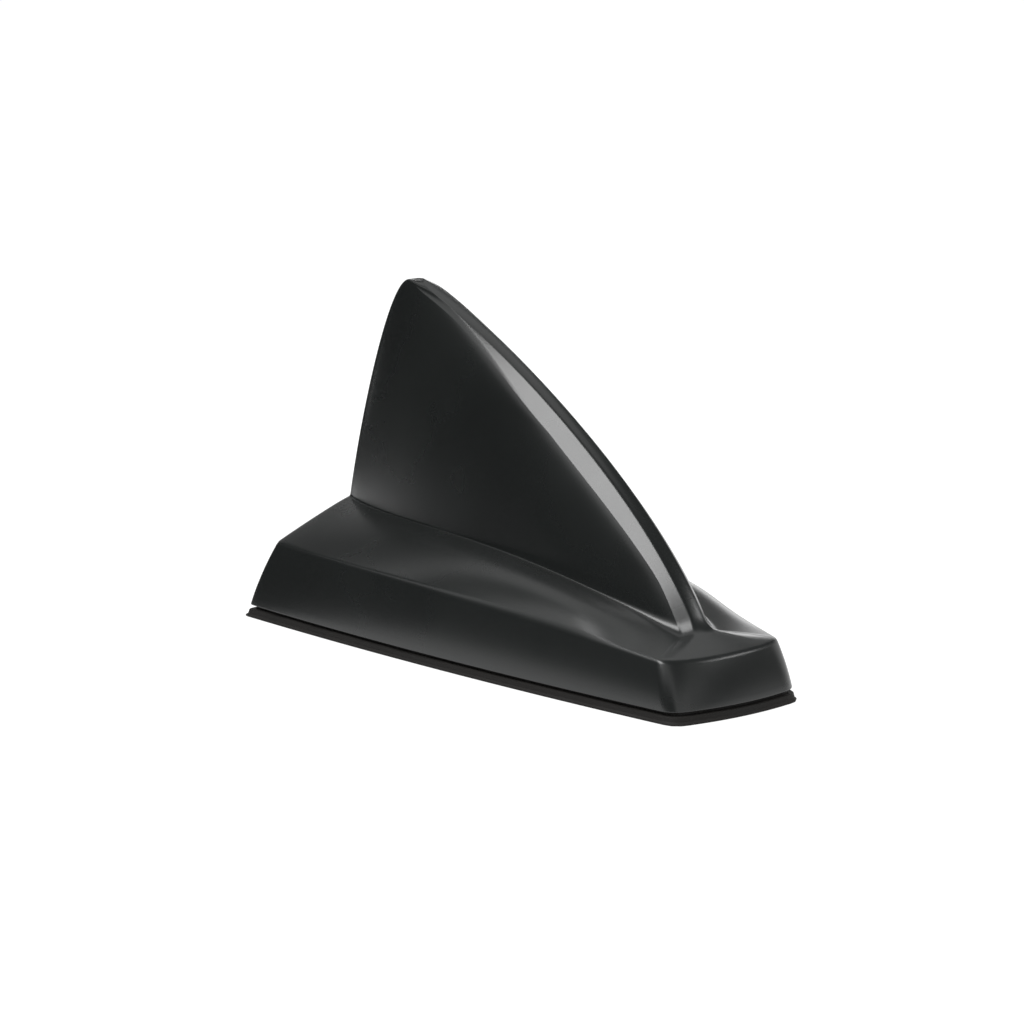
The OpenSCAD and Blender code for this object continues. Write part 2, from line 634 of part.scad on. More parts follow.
can_corner = [coil_x + 2 - can_length, -can_width - 4.5];
module shield_can() {
    wall = 0.3;
    color("#a9abac") translate([can_corner[0], can_corner[1], board_top]) difference() {
        cube([can_length, can_width, can_height]);
        translate([wall, wall, -1])
            cube([can_length - 2 * wall, can_width - 2 * wall, can_height - wall + 1]);
        for (k = [0:4]) for (m = [0:1]) translate([3 + k * 5, 3.5 + m * 4, can_height - 1])
            cylinder(h = 2, d = 1.4, $fn = 24);
    }
}

chips = [[-34, 8, 5, 5, 0.9], [-26, 8, 4, 3, 0.8], [-26, 12.4, 4, 2, 1.2], [-3, 8, 6, 5, 1],
    [6, 9, 3, 3, 0.7], [6, -12, 3, 5, 0.8], [-4, -13, 4, 4, 0.9]];
module board_chips() {
    color("#26272a") for (c = chips) translate([c[0], c[1], board_top]) cube([c[2], c[3], c[4]]);
}

module coax_block() {
    color("#7c6aa0") translate([0, 0, board_z - block_reach]) difference() {
        cylinder(h = block_reach, d = block_dia, $fn = round_faces);
        for (side = [-1, 1]) translate([0, side * block_dia / 4.6, -1])
            cylinder(h = block_reach - 0.5, d = socket_dia, $fn = round_faces);
    }
}

module patch_tape() {
    color("#d8d2c4") translate([patch_x, 0, board_top]) difference() {
        translate([1.5 - patch_side / 2, 1.5 - patch_side / 2, 0])
            cube([patch_side - 3, patch_side - 3, pad_thick]);
        translate([0, 0, -1]) cylinder(h = 3, d = 3, $fn = round_faces);
    }
}
module patch_antenna() {
    h = patch_side / 2;
    electrode = h - 2.5;
    color("#c9b28c") translate([patch_x, 0, board_top + pad_thick]) difference() {
        union() {
            translate([-h, -h, 0]) cube([patch_side, patch_side, patch_thick]);
            translate([-electrode, -electrode, patch_thick - eps])
                cube([2 * electrode, 2 * electrode, 0.15 + eps]);
        }
        translate([0, 0, -1]) cylinder(h = patch_thick + 2, d = 1.6, $fn = round_faces);
    }
}
module patch_pin() {
    color("#d9d2a8") translate([patch_x, 0, board_top]) {
        cylinder(h = pad_thick + patch_thick + 0.3, d = 1, $fn = round_faces);
        translate([0, 0, pad_thick + patch_thick + 0.15]) cylinder(h = 0.5, d = 2.4, $fn = round_faces);
    }
}

phone_rear = board_rear + 1.5;
module phone_board() {
    color("#235f43") translate([phone_rear, phone_thick / 2, board_top]) rotate([90, 0, 0])
        linear_extrude(phone_thick) difference() {
            polygon([[0, 0], [phone_width, 0], [phone_width, phone_height * 0.7],
                [phone_width - 4, phone_height], [0, phone_height]]);
            translate([4, phone_height * 0.45]) square([phone_width - 8, 1.6]);
            translate([phone_width / 2 - 0.8, phone_height * 0.12]) square([1.6, phone_height * 0.34]);
        }
}

// Side view of the carrier and the top load, drawn from the fin's own edges
function inset_lead(t, d) = lead(t) - lead_normal(t) * d;
load_inset = 6;
load_gap = 9;
web_top = load_top - (load_top - load_bottom) *
    (web_thick + 2 * load_sheet + 2 * running - load_fold) / (load_width - load_fold);
load_rear = trail_x + load_setback;
function load_outline(d) = concat([for (k = [0:6]) inset_lead(mix(0.45, 0.78, k / 6), d)],
    [trail(0.72) + [load_gap + d - load_inset, 0], [load_rear + d - load_inset, load_bottom]]);
module carrier_web() {
    foot = 3;
    polygon(concat([[coil_x + 14, board_top], [coil_x + 16, load_bottom - 6]],
        [for (k = [0:5]) inset_lead(mix(0.5, 0.72, k / 5), load_inset + 4)],
        [[load_rear + 6, load_bottom + 8], [load_rear + 6, load_bottom - 3],
        [coil_x - foot - 2, load_bottom - 3], [coil_x - foot - 2, board_top]]));
}
module antenna_carrier() {
    post = coil_dia - 2 * coil_wire - 0.4;
    color("#d9d6cc") difference() {
        union() {
            rotate([90, 0, 0]) translate([0, 0, -web_thick / 2]) linear_extrude(web_thick)
                difference() {
                    intersection() {
                        carrier_web();
                        translate([-rear_reach, 0]) square([rear_reach + front_reach, web_top]);
                    }
                    translate([coil_x + 7, board_top + 6]) square([6, 14]);
                    translate([coil_x - 22, load_bottom + 1]) square([10, 7]);
                    translate([coil_x - 8, load_bottom + 1]) square([16, 8]);
                    translate([coil_x - coil_dia / 2 - 0.4, coil_low() - 0.3])
                        square([coil_dia + 0.8, coil_length() + 0.6]);
                }
            translate([coil_x, 0, board_top]) cylinder(h = load_bottom - board_top - 3, d = post,
                $fn = round_faces);
            translate([coil_x - 5, -4, board_top]) cube([19, 8, 1.4]);
        }
        translate([coil_x, -pin_reach, board_top - 1]) cylinder(h = 4, d = pin_dia + fit, $fn = 24);
        translate([coil_x, 0, coil_low() - 3]) rotate([90, 0, 0])
            cylinder(h = 12, d = 2, center = true, $fn = round_faces);
    }
}
pin_dia = 0.8;
pin_reach = coil_dia / 2 - coil_wire / 2;
function coil_low() = board_top + 5;
function coil_length() = coil_turns * coil_wire * 1.25;

module radio_coil() {
    r = coil_dia / 2 - coil_wire / 2;
    pitch = coil_length() / coil_turns;
    color("#b0703c") translate([coil_x, 0, coil_low()]) rotate_extrude($fn = round_faces) union() {
        for (k = [0:coil_turns - 1]) translate([r, (k + 0.5) * pitch]) circle(d = coil_wire, $fn = 16);
        translate([r - coil_wire * 0.3, coil_wire * 0.4]) square([coil_wire * 0.6,
            coil_length() - coil_wire * 0.8]);
    }
}
module coil_pin() {
    color("#c9a24a") translate([coil_x, -pin_reach, board_top])
        cylinder(h = coil_low() - board_top + 0.1, d = pin_dia, $fn = 24);
}
module link_strip() {
    low = coil_low() + coil_length() - 0.1;
    color("#c9a24a") translate([coil_x - 1, -load_width / 2 - 0.62, low])
        cube([2, 0.6, load_bottom + 1 - low]);
}

module top_load() {
    half = load_width / 2;
    fold = load_fold / 2;
    color("#c8c9c6") intersection() {
        rotate([90, 0, 90]) translate([0, 0, -rear_reach])
            linear_extrude(rear_reach + front_reach) difference() {
            polygon([[-half, load_bottom], [half, load_bottom], [fold, load_top], [-fold, load_top]]);
            polygon([[-half + load_sheet, load_bottom - 1], [half - load_sheet, load_bottom - 1],
                [fold - load_sheet, load_top - load_sheet], [-fold + load_sheet, load_top - load_sheet]]);
        }
        rotate([90, 0, 0]) translate([0, 0, -10]) linear_extrude(20) polygon(load_outline(load_inset));
    }
}
foam_length = 12;
ceiling = fin_row(corner_b + 0.62 * side_steps, inner_levels[len(inner_levels) - 1], fin_wall)[2];
module foam_pad() {
    color("#4a4a4c") translate([tip_x + 1, -load_fold / 2, load_top])
        cube([foam_length, load_fold, ceiling - fit - load_top]);
}

cover();
base_seal();
cover_seal();
base_plate();
hollow_stud();
stud_seal();
claw_washer();
stud_nut();
cover_screws();
main_board();
board_screws();
shield_can();
board_chips();
coax_block();
patch_tape();
patch_antenna();
patch_pin();
phone_board();
antenna_carrier();
radio_coil();
coil_pin();
link_strip();
top_load();
foam_pad();
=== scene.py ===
# Shark fin roof aerial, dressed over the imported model. Metres, +X to the front of the car, +Z up.
import math
import bmesh
import bpy
from mathutils import Matrix, Vector
from mathutils.bvhtree import BVHTree


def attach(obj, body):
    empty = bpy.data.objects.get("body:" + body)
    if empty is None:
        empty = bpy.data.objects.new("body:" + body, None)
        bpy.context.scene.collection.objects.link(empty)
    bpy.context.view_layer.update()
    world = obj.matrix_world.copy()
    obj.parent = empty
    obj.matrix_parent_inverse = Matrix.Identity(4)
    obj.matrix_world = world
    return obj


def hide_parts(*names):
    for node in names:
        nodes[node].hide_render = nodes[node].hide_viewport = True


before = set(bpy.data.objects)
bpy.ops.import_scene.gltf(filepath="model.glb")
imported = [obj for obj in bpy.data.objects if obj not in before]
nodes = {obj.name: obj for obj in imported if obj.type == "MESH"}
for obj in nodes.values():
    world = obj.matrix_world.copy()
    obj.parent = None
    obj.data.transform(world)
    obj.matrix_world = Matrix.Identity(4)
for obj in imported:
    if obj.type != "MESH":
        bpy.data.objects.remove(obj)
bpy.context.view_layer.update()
scene = bpy.context.scene
scene.view_settings.view_transform = "Standard"
mm = 0.001


# small helpers for node trees
def addNode(tree, kind, props=None, sockets=None):
    node = tree.nodes.new(kind)
    for key, value in (props or {}).items():
        setattr(node, key, value)
    for key, value in (sockets or {}).items():
        node.inputs[key].default_value = value
    return node


def wire(tree, source, sourceSocket, target, targetSocket):
    tree.links.new(source.outputs[sourceSocket], target.inputs[targetSocket])


def newGroup(name, inputs, outputs):
    tree = bpy.data.node_groups.new(name, "ShaderNodeTree")
    for label, value in inputs.items():
        socket = tree.interface.new_socket(name=label, in_out="INPUT", socket_type="NodeSocketFloat")
        socket.default_value = value
    for label in outputs:
        tree.interface.new_socket(name=label, in_out="OUTPUT", socket_type="NodeSocketFloat")
    return tree, addNode(tree, "NodeGroupInput"), addNode(tree, "NodeGroupOutput")


def mathNode(tree, kind, first=None, second=None, clamp=False):
    node = addNode(tree, "ShaderNodeMath", {"operation": kind, "use_clamp": clamp})
    for place, value in ((0, first), (1, second)):
        if isinstance(value, (int, float)):
            node.inputs[place].default_value = value
        elif value is not None:
            wire(tree, value[0], value[1], node, place)
    return node


# a fine even grain with a slow mottle under it
def makeGrainGroup():
    tree, given, result = newGroup("surfaceGrain", {"Grain Scale": 3000, "Mottle Scale": 60, "Stretch": 1},
                                   ["Height", "Mottle"])
    place = addNode(tree, "ShaderNodeTexCoord")
    shape = addNode(tree, "ShaderNodeCombineXYZ", None, {"X": 1, "Y": 1})
    scaled = addNode(tree, "ShaderNodeVectorMath", {"operation": "MULTIPLY"})
    grain = addNode(tree, "ShaderNodeTexNoise", None, {"Detail": 3, "Roughness": 0.6})
    mottle = addNode(tree, "ShaderNodeTexNoise", None, {"Detail": 5, "Roughness": 0.55})
    spread = addNode(tree, "ShaderNodeMapRange", None, {"From Min": 0.36, "From Max": 0.64})
    wire(tree, given, "Stretch", shape, "Z")
    wire(tree, place, "Object", scaled, 0)
    wire(tree, shape, "Vector", scaled, 1)
    wire(tree, scaled, "Vector", grain, "Vector")
    wire(tree, place, "Object", mottle, "Vector")
    wire(tree, given, "Grain Scale", grain, "Scale")
    wire(tree, given, "Mottle Scale", mottle, "Scale")
    wire(tree, mottle, "Fac", spread, "Value")
    wire(tree, grain, "Fac", result, "Height")
    wire(tree, spread, "Result", result, "Mottle")
    return tree


# outer edges rubbed a little brighter, broken up by noise
def makeWearGroup():
    tree, given, result = newGroup("edgeWear", {"Low": 0.52, "High": 0.62, "Breakup Scale": 400}, ["Mask"])
    shape = addNode(tree, "ShaderNodeNewGeometry")
    place = addNode(tree, "ShaderNodeTexCoord")
    edge = addNode(tree, "ShaderNodeMapRange")
    patchy = addNode(tree, "ShaderNodeTexNoise", None, {"Detail": 4, "Roughness": 0.65})
    strong = addNode(tree, "ShaderNodeMapRange", None, {"From Min": 0.42, "From Max": 0.62, "To Min": 0.15})
    wire(tree, shape, "Pointiness", edge, "Value")
    wire(tree, given, "Low", edge, "From Min")
    wire(tree, given, "High", edge, "From Max")
    wire(tree, place, "Object", patchy, "Vector")
    wire(tree, given, "Breakup Scale", patchy, "Scale")
    wire(tree, patchy, "Fac", strong, "Value")
    both = mathNode(tree, "MULTIPLY", (edge, "Result"), (strong, "Result"), True)
    wire(tree, both, "Value", result, "Mask")
    return tree


# thin dust that lies on what faces up, in a film with a few flecks
def makeDustGroup():
    tree, given, result = newGroup("settledDust", {"Amount": 0.1, "Fleck Scale": 900}, ["Mask"])
    shape = addNode(tree, "ShaderNodeNewGeometry")
    split = addNode(tree, "ShaderNodeSeparateXYZ")
    facing = addNode(tree, "ShaderNodeMapRange", None, {"From Min": 0.25, "From Max": 1.0})
    place = addNode(tree, "ShaderNodeTexCoord")
    flecks = addNode(tree, "ShaderNodeTexVoronoi", {"feature": "F1"})
    film = addNode(tree, "ShaderNodeTexNoise", None, {"Scale": 45, "Detail": 6, "Roughness": 0.6})
    dot = addNode(tree, "ShaderNodeMapRange", None, {"From Min": 0.05, "From Max": 0.16, "To Min": 1, "To Max": 0})
    wire(tree, shape, "Normal", split, "Vector")
    wire(tree, split, "Z", facing, "Value")
    for texture in (flecks, film):
        wire(tree, place, "Object", texture, "Vector")
    wire(tree, given, "Fleck Scale", flecks, "Scale")
    wire(tree, flecks, "Distance", dot, "Value")
    rare = mathNode(tree, "GREATER_THAN", (flecks, "Color"), 0.93)
    spot = mathNode(tree, "MULTIPLY", (dot, "Result"), (rare, "Value"))
    thin = mathNode(tree, "MULTIPLY", (film, "Fac"), (given, "Amount"))
    bright = mathNode(tree, "MULTIPLY", (spot, "Value"), (given, "Amount"))
    both = mathNode(tree, "ADD", (thin, "Value"), (bright, "Value"))
    mask = mathNode(tree, "MULTIPLY", (both, "Value"), (facing, "Result"), True)
    wire(tree, mask, "Value", result, "Mask")
    return tree


surfaceGrain, edgeWear, settledDust = makeGrainGroup(), makeWearGroup(), makeDustGroup()
dustTint = (0.34, 0.33, 0.31, 1)
print("effect groups made")


# one finish: two tones under a mottle, worn edges, dust, and a bump from the grain
def makeFinish(name, look):
    material = bpy.data.materials.new(name)
    material.use_nodes = True
    tree = material.node_tree
    tree.nodes.clear()
    output = addNode(tree, "ShaderNodeOutputMaterial")
    shader = addNode(tree, "ShaderNodeBsdfPrincipled", None, {
        "Metallic": look.get("metal", 0), "Specular IOR Level": look.get("specular", 0.5),
        "Coat Weight": look.get("coat", 0), "Coat Roughness": look.get("coatRough", 0.1)})
    grain = addNode(tree, "ShaderNodeGroup", {"node_tree": surfaceGrain})
    grain.inputs["Grain Scale"].default_value = look["grain"]
    grain.inputs["Mottle Scale"].default_value = look.get("mottle", 60)
    grain.inputs["Stretch"].default_value = look.get("stretch", 1)
    tones = addNode(tree, "ShaderNodeMix", {"data_type": "RGBA"})
    tones.inputs["A"].default_value = (*look["dark"], 1)
    tones.inputs["B"].default_value = (*look["light"], 1)
    wire(tree, grain, "Mottle", tones, "Factor")
    rough = addNode(tree, "ShaderNodeMapRange", None, {"To Min": look["rough"][0], "To Max": look["rough"][1]})
    wire(tree, grain, "Mottle", rough, "Value")
    wear = addNode(tree, "ShaderNodeGroup", {"node_tree": edgeWear})
    wear.inputs["Low"].default_value = look.get("wearLow", 0.52)
    wear.inputs["High"].default_value = look.get("wearHigh", 0.64)
    worn = addNode(tree, "ShaderNodeMix", {"data_type": "RGBA"})
    worn.inputs["B"].default_value = (*look.get("worn", look["light"]), 1)
    wire(tree, wear, "Mask", worn, "Factor")
    wire(tree, tones, "Result", worn, "A")
    dust = addNode(tree, "ShaderNodeGroup", {"node_tree": settledDust})
    dust.inputs["Amount"].default_value = look.get("dust", 0.05)
    dusty = addNode(tree, "ShaderNodeMix", {"data_type": "RGBA"})
    dusty.inputs["B"].default_value = dustTint
    wire(tree, dust, "Mask", dusty, "Factor")
    wire(tree, worn, "Result", dusty, "A")
    wire(tree, dusty, "Result", shader, "Base Color")
    duller = mathNode(tree, "ADD", (rough, "Result"), (dust, "Mask"), True)
    wire(tree, duller, "Value", shader, "Roughness")
    bump = addNode(tree, "ShaderNodeBump", None, {
        "Strength": look.get("bump", 0.3), "Distance": look.get("depth", 0.02) * mm})
    wire(tree, grain, "Height", bump, "Height")
    wire(tree, bump, "Normal", shader, "Normal")
    wire(tree, shader, "BSDF", output, "Surface")
    return material


# the cover's shape in millimetres and degrees; the flares and the nose's trim and flat are drawn finer
# than in the solids, and everything else has the same size as there
coverShape = {
    "rearReach": 62.2, "frontReach": 70.6, "rearWidth": 64.6, "frontWidth": 33.4,
    "sideBulge": 2.2, "rearBow": 8, "frontBow": 1.2, "rearCorner": 0.8, "frontCorner": 3.6,
    "shoulderRear": 17, "shoulderFront": 12, "shoulderArch": 2,
    "leanRear": 6.4, "leanFront": 2.1, "leanBack": 3.3, "leanNose": 4.1,
    "wallSwell": 0.5, "shoulderRound": 0.8,
    "finHeight": 76.8, "tipX": -37.5, "noseX": 58.4, "noseFoot": 15.6,
    "leadSteep": 58.5, "leadShallow": 17.5, "trailX": -64.6, "trailFoot": 23.6, "trailSteep": 77.5,
    "deckDome": 3.6, "footArch": 5.2, "trailThick": 4.6, "tipThick": 3.8, "belly": 6.4,
    "ridgeWidth": 3.4, "facet": 3.1, "flareRear": 0.5, "flareNose": 2.2, "noseTrim": 1.9, "noseFlat": 1,
    "wall": 2.4, "finWall": 2, "sealHeight": 2.2, "groove": 0.4,
}
# stations round half of the outline, from the middle of the tail to the middle of the nose
rearEnd, rearTurn, sideEnd, frontTurn, halfEnd = 4, 6, 23, 27, 30
rearShare, frontDraft = 0.94, 0.6  # width where the rear corner begins, and what the front corner adds
roundTip, tipLeast = 0.93, 0.004   # level where the tip's rounding begins, and what is left of it at the end
bevelCut = 0.414                   # tangent of half the bevel's 45 degrees
facetSlope = 0.92                  # how far the bevel widens the fin for its depth


def mix(a, b, t):
    return a + (b - a) * t


def arch(t):
    return 4 * t * (1 - t)


def ease(t):
    t = min(1, max(0, t))
    return t * t * (3 - 2 * t)


def along(x):
    c = coverShape
    return (x + c["rearReach"]) / (c["rearReach"] + c["frontReach"])


def footHalf(s):
    c = coverShape
    return mix(c["rearWidth"], c["frontWidth"], s) / 2 + c["sideBulge"] * arch(s)


def lean(s):
    c = coverShape
    return c["leanFront"] + (c["leanRear"] - c["leanFront"]) * max(0, 1 - s) ** 4


def shoulderZ(s):
    c = coverShape
    return mix(c["shoulderRear"], c["shoulderFront"], s) + c["shoulderArch"] * arch(s)


def shoulderHalf(s):
    return footHalf(s) - lean(s)


def rearCurve(v):
    return 1 - abs(v) ** 1.3


# half of a loop round the cover; bows: how far the tail and the nose bulge
def outline(i, x0, x1, bows, halfAt, heightAt, gable):
    c = coverShape
    w0, w1 = halfAt(0), halfAt(1)
    if i < rearTurn:
        v = min(1, i / rearEnd) * rearShare
        a = math.pi / 2 * max(0, i - rearEnd) / (rearTurn - rearEnd)
        x = x0 - bows[0] * rearCurve(v) + c["rearCorner"] * (1 - math.cos(a))
        return (x, mix(w0 * v, w0, math.sin(a)), gable(v))
    if i <= sideEnd:
        x = mix(x0 + c["rearCorner"], x1 - c["frontCorner"], (i - rearTurn) / (sideEnd - rearTurn))
        return (x, halfAt(along(x)), heightAt(along(x)))
    if i <= frontTurn:
        a = math.pi / 2 * (i - sideEnd) / (frontTurn - sideEnd)
        return (x1 - c["frontCorner"] * (1 - math.sin(a)),
                w1 + frontDraft * math.cos(a) - c["frontCorner"] * (1 - math.cos(a)), heightAt(along(x1)))
    v = 1 - (i - frontTurn) / (halfEnd - frontTurn)
    return (x1 + bows[1] * (1 - v * v), (w1 - c["frontCorner"]) * v, heightAt(along(x1)))


def shoulderPoint(i):
    c = coverShape
    x0, x1 = c["leanBack"] - c["rearReach"], c["frontReach"] - c["leanNose"]
    bows = (-c["trailX"] - c["rearReach"] + c["leanBack"], c["frontBow"] * 1.4)
    gable = lambda v: mix(c["shoulderRear"], c["trailFoot"] - 0.5, (1 - v) ** 1.4)
    return outline(i, x0, x1, bows, shoulderHalf, shoulderZ, gable)


def footPoint(i):
    c, flat = coverShape, lambda _: 0
    return outline(i, -c["rearReach"], c["frontReach"], (c["rearBow"], c["frontBow"]), footHalf, flat, flat)


def sideSlope(s):
    c = coverShape
    slope = (c["frontWidth"] - c["rearWidth"]) / 2 + 4 * c["sideBulge"] * (1 - 2 * s)
    return slope / (c["rearReach"] + c["frontReach"])


def shrink(p, i, off):             # a wall's thickness taken off along the outline's own normal
    if i <= rearEnd:
        return (p[0] + off, p[1] * (1 - off / footHalf(0)), p[2])
    if i < rearTurn:
        return (p[0] + off, p[1] - off, p[2])
    if i <= sideEnd:
        shift = off * (1 - (i - rearTurn) / (sideEnd - rearTurn))
        return (p[0] + shift, p[1] - off + shift * sideSlope(along(p[0])), p[2])
    if i < frontTurn:
        a = math.pi / 2 * (i - sideEnd) / (frontTurn - sideEnd)
        return (p[0] - off * math.sin(a), max(0, p[1] - off * math.cos(a)), p[2])
    return (p[0] - off, p[1], p[2])


def wallPoint(i, z, off=0):
    a, b = footPoint(i), shoulderPoint(i)
    t = z / b[2]
    return shrink((mix(a[0], b[0], t), mix(a[1], b[1], t), z), i, off - coverShape["wallSwell"] * arch(min(1, t)))


def bend(a, b, c, u):              # quadratic curve from a to c, pulled to b
    return tuple(p * (1 - u) ** 2 + q * 2 * u * (1 - u) + r * u * u for p, q, r in zip(a, b, c))


def bezier(a, b, c, d, t):         # cubic curve from a to d, pulled to b and c
    return tuple(p * (1 - t) ** 3 + q * 3 * t * (1 - t) ** 2 + r * 3 * t * t * (1 - t) + s * t ** 3
                 for p, q, r, s in zip(a, b, c, d))


def ray(angle, size):
    return (math.cos(math.radians(angle)) * size, math.sin(math.radians(angle)) * size)


def lead(t):                       # leading edge in side view, 0 at the foot and 1 at the tip
    c = coverShape
    foot, tip = (c["noseX"], c["noseFoot"]), (c["tipX"], c["finHeight"])
    pull = math.dist(foot, tip) * 0.264
    up, down = ray(180 - c["leadSteep"], pull), ray(180 - c["leadShallow"], pull)
    return bezier(foot, (foot[0] + up[0], foot[1] + up[1]), (tip[0] - down[0], tip[1] - down[1]), tip, t)


def leadNormal(t):
    a, b = lead(t - 0.01), lead(t + 0.01)
    size = math.dist(a, b)
    return ((b[1] - a[1]) / size, (a[0] - b[0]) / size)


def trail(t):
    c = coverShape
    low, tip = (c["trailX"], c["trailFoot"]), (c["tipX"] - 3, c["finHeight"] - 0.2)
    pull = math.dist(low, tip)
    up, back = ray(c["trailSteep"], pull * 0.347), ray(161, pull * 0.135)
    return bezier(low, (low[0] + up[0], low[1] + up[1]), (tip[0] + back[0], tip[1] + back[1]), tip, t)


def tipRound(t):
    return 1 if t < roundTip else math.sqrt(max(tipLeast, 1 - ((t - roundTip) / 0.07) ** 2))


def facetDepth(t):
    return coverShape["facet"] * (1 + 0.3 * arch(min(1, 2 * t))) * ease((0.9 - t) / 0.42)


def ridgeHalf(t, off=0):
    return max(0.3, coverShape["ridgeWidth"] / 2 - bevelCut * off) * tipRound(t)


def noseTrim(t):                   # narrows the outside of the nose, most at the foot
    return coverShape["noseTrim"] * (1 - ease((t - 0.1) / 0.55)) * (0.6 + 0.4 * ease(t / 0.15))


def finHalf(q, t, off=0):          # half of the fin's width, q 0 at the trailing edge and 1 at the bevel
    c = coverShape
    tail = mix(c["trailThick"], c["tipThick"], t) / 2 * tipRound(t) - off
    nose = ridgeHalf(t) + facetDepth(t) * facetSlope + 0.25 * tipRound(t) - off
    half = mix(tail, nose, q) + c["belly"] * max(0, arch(q)) ** 0.8 * (1 - t) ** 1.3
    fine = half + off - noseTrim(t) * max(0, (q - 0.7) / 0.3) ** 1.5
    return max(0.02, fine) if not off else max(0.45, min(half, fine - 0.45 * off))


def footRise(q):
    return coverShape["footArch"] * arch(max(0, q) ** 1.4)


def finPoint(i, t, off=0):
    c = coverShape
    n, edge, back = leadNormal(t), lead(t), trail(t)
    depth = facetDepth(t) + bevelCut * off - (0 if off else noseTrim(t) / facetSlope)
    front = (edge[0] - n[0] * depth, edge[1] - n[1] * depth)
    ridge = (edge[0] - n[0] * off, edge[1] - n[1] * off)
    rear, r = (back[0] + off, back[1]), 1.4 * tipRound(t)
    drop = off * (1 - t) ** 3
    tail = finHalf(0, t, off)
    if i <= rearEnd:
        return (rear[0], max(0.01, tail - r / 2) * i / rearEnd, rear[1] - drop)
    if i < rearTurn:
        a = math.pi / 2 * (i - rearEnd) / (rearTurn - rearEnd)
        return (rear[0] + r * (1 - math.cos(a)), mix(max(0.01, tail - r / 2), tail, math.sin(a)), rear[1] - drop)
    if i <= sideEnd:
        q = (i - rearTurn) / (sideEnd - rearTurn)
        z = mix(rear[1], front[1], q) + footRise(q) * (1 - t) ** 2 - drop
        return (mix(rear[0] + r, front[0], q), finHalf(q, t, off), z)
    if i <= frontTurn:
        v = (i - sideEnd) / (frontTurn - sideEnd)
        half = mix(finHalf(1, t, off), ridgeHalf(t, off), v)
        return (mix(front[0], ridge[0], v), half, mix(front[1], ridge[1], v) - drop)
    v = (i - frontTurn) / (halfEnd - frontTurn)
    bow = 0.2 * arch(v / 2)
    return (ridge[0] + n[0] * bow, ridgeHalf(t, off) * (1 - v), ridge[1] + n[1] * bow - drop)


def flareAt(i):                    # size of the fin's foot fillet
    c = coverShape
    q = min(1, max(0, (i - rearTurn) / (sideEnd - rearTurn)))
    return mix(c["flareRear"], c["flareNose"], ease((q - 0.78) / 0.22))


def finRow(i, level, off=0):
    c = coverShape
    rise = c["finHeight"] - (c["trailFoot"] + c["noseFoot"]) / 2
    return finPoint(i, mix(flareAt(i) / rise, 1, level), off)


def deckEdge(i, off=0):
    s = shoulderPoint(i)
    return shrink((s[0], s[1], s[2] - off), i, off)


def dome(u, q):
    bulge = min(1, max(0, q)) ** 2.4 - coverShape["noseFlat"] * ease((q - 0.8) / 0.2)
    return 1 - max(0, 1 - u) ** (1.15 + coverShape["deckDome"] * bulge)


def deckPoint(i, d, off=0):
    s, c = deckEdge(i, off), finPoint(i, 0, off)
    u = d * (1 - min(0.8, flareAt(i) / math.dist(s, c)))
    q = (i - rearTurn) / (sideEnd - rearTurn)
    return (mix(s[0], c[0], u), mix(s[1], c[1], u), mix(s[2], c[2], dome(u, q)))


def flarePoint(i, u, off=0):
    return bend(deckPoint(i, 1, off), finPoint(i, 0, off), finRow(i, 0, off), u)


def creasePoint(i, u, off=0):
    s = deckEdge(i, off)
    w = wallPoint(i, s[2] - coverShape["shoulderRound"], off)
    d = deckPoint(i, min(0.3, coverShape["shoulderRound"] / math.dist(deckPoint(i, 1, off), s)), off)
    return bend(w, s, d, u)


coverBuild = {                     # how finely the cover is drawn; lengths in millimetres
    "rearSteps": 10, "turnSteps": 4, "sideSteps": 64, "facetSteps": 3, "frontSteps": 6,
    "edgeRound": 0.4, "innerRound": 0.2, "roundSteps": 6, "rimRound": 0.25,
    "edgeSoft": 4, "edgeSoftFrom": 0.5, "edgeSoftOver": 0.4, "tipSoft": 7, "tipSoftFrom": 0.78, "tipSoftOver": 0.17,
    "wallSteps": 8, "creaseSteps": 6, "deckSteps": 12, "flareSteps": 8, "finSteps": 40, "tipSteps": 14,
    "postRadius": 3.2, "postBore": 1.55, "postHole": 12, "postSides": 32, "postChamfer": 0.2, "postSink": 0.4,
    "gusset": 1.4, "gussetDepth": 6.5, "gussetReach": 8, "gussetSag": (2.4, 2.6), "gussetPlaces": (-24, 2, 22),
}
rimZ = coverShape["sealHeight"] + coverShape["groove"]
plateTop = 5.0                     # top of the base plate over the roof
tipLevel = 0.92                    # level of the fin where the rows draw together towards the tip


def cornerPull(place):             # where the side's and the front's directions meet
    (ax, ay, az), (bx, by, bz) = place(sideEnd), place(frontTurn)
    (cx, cy, _), (dx, dy, _) = place(sideEnd - 0.1), place(frontTurn + 0.1)
    ux, uy, vx, vy = ax - cx, ay - cy, bx - dx, by - dy
    cross = ux * vy - uy * vx
    if abs(cross) < 1e-9:
        return ((ax + bx) / 2, (ay + by) / 2, (az + bz) / 2)
    t = ((bx - ax) * vy - (by - ay) * vx) / cross
    return (ax + ux * t, ay + uy * t, (az + bz) / 2)


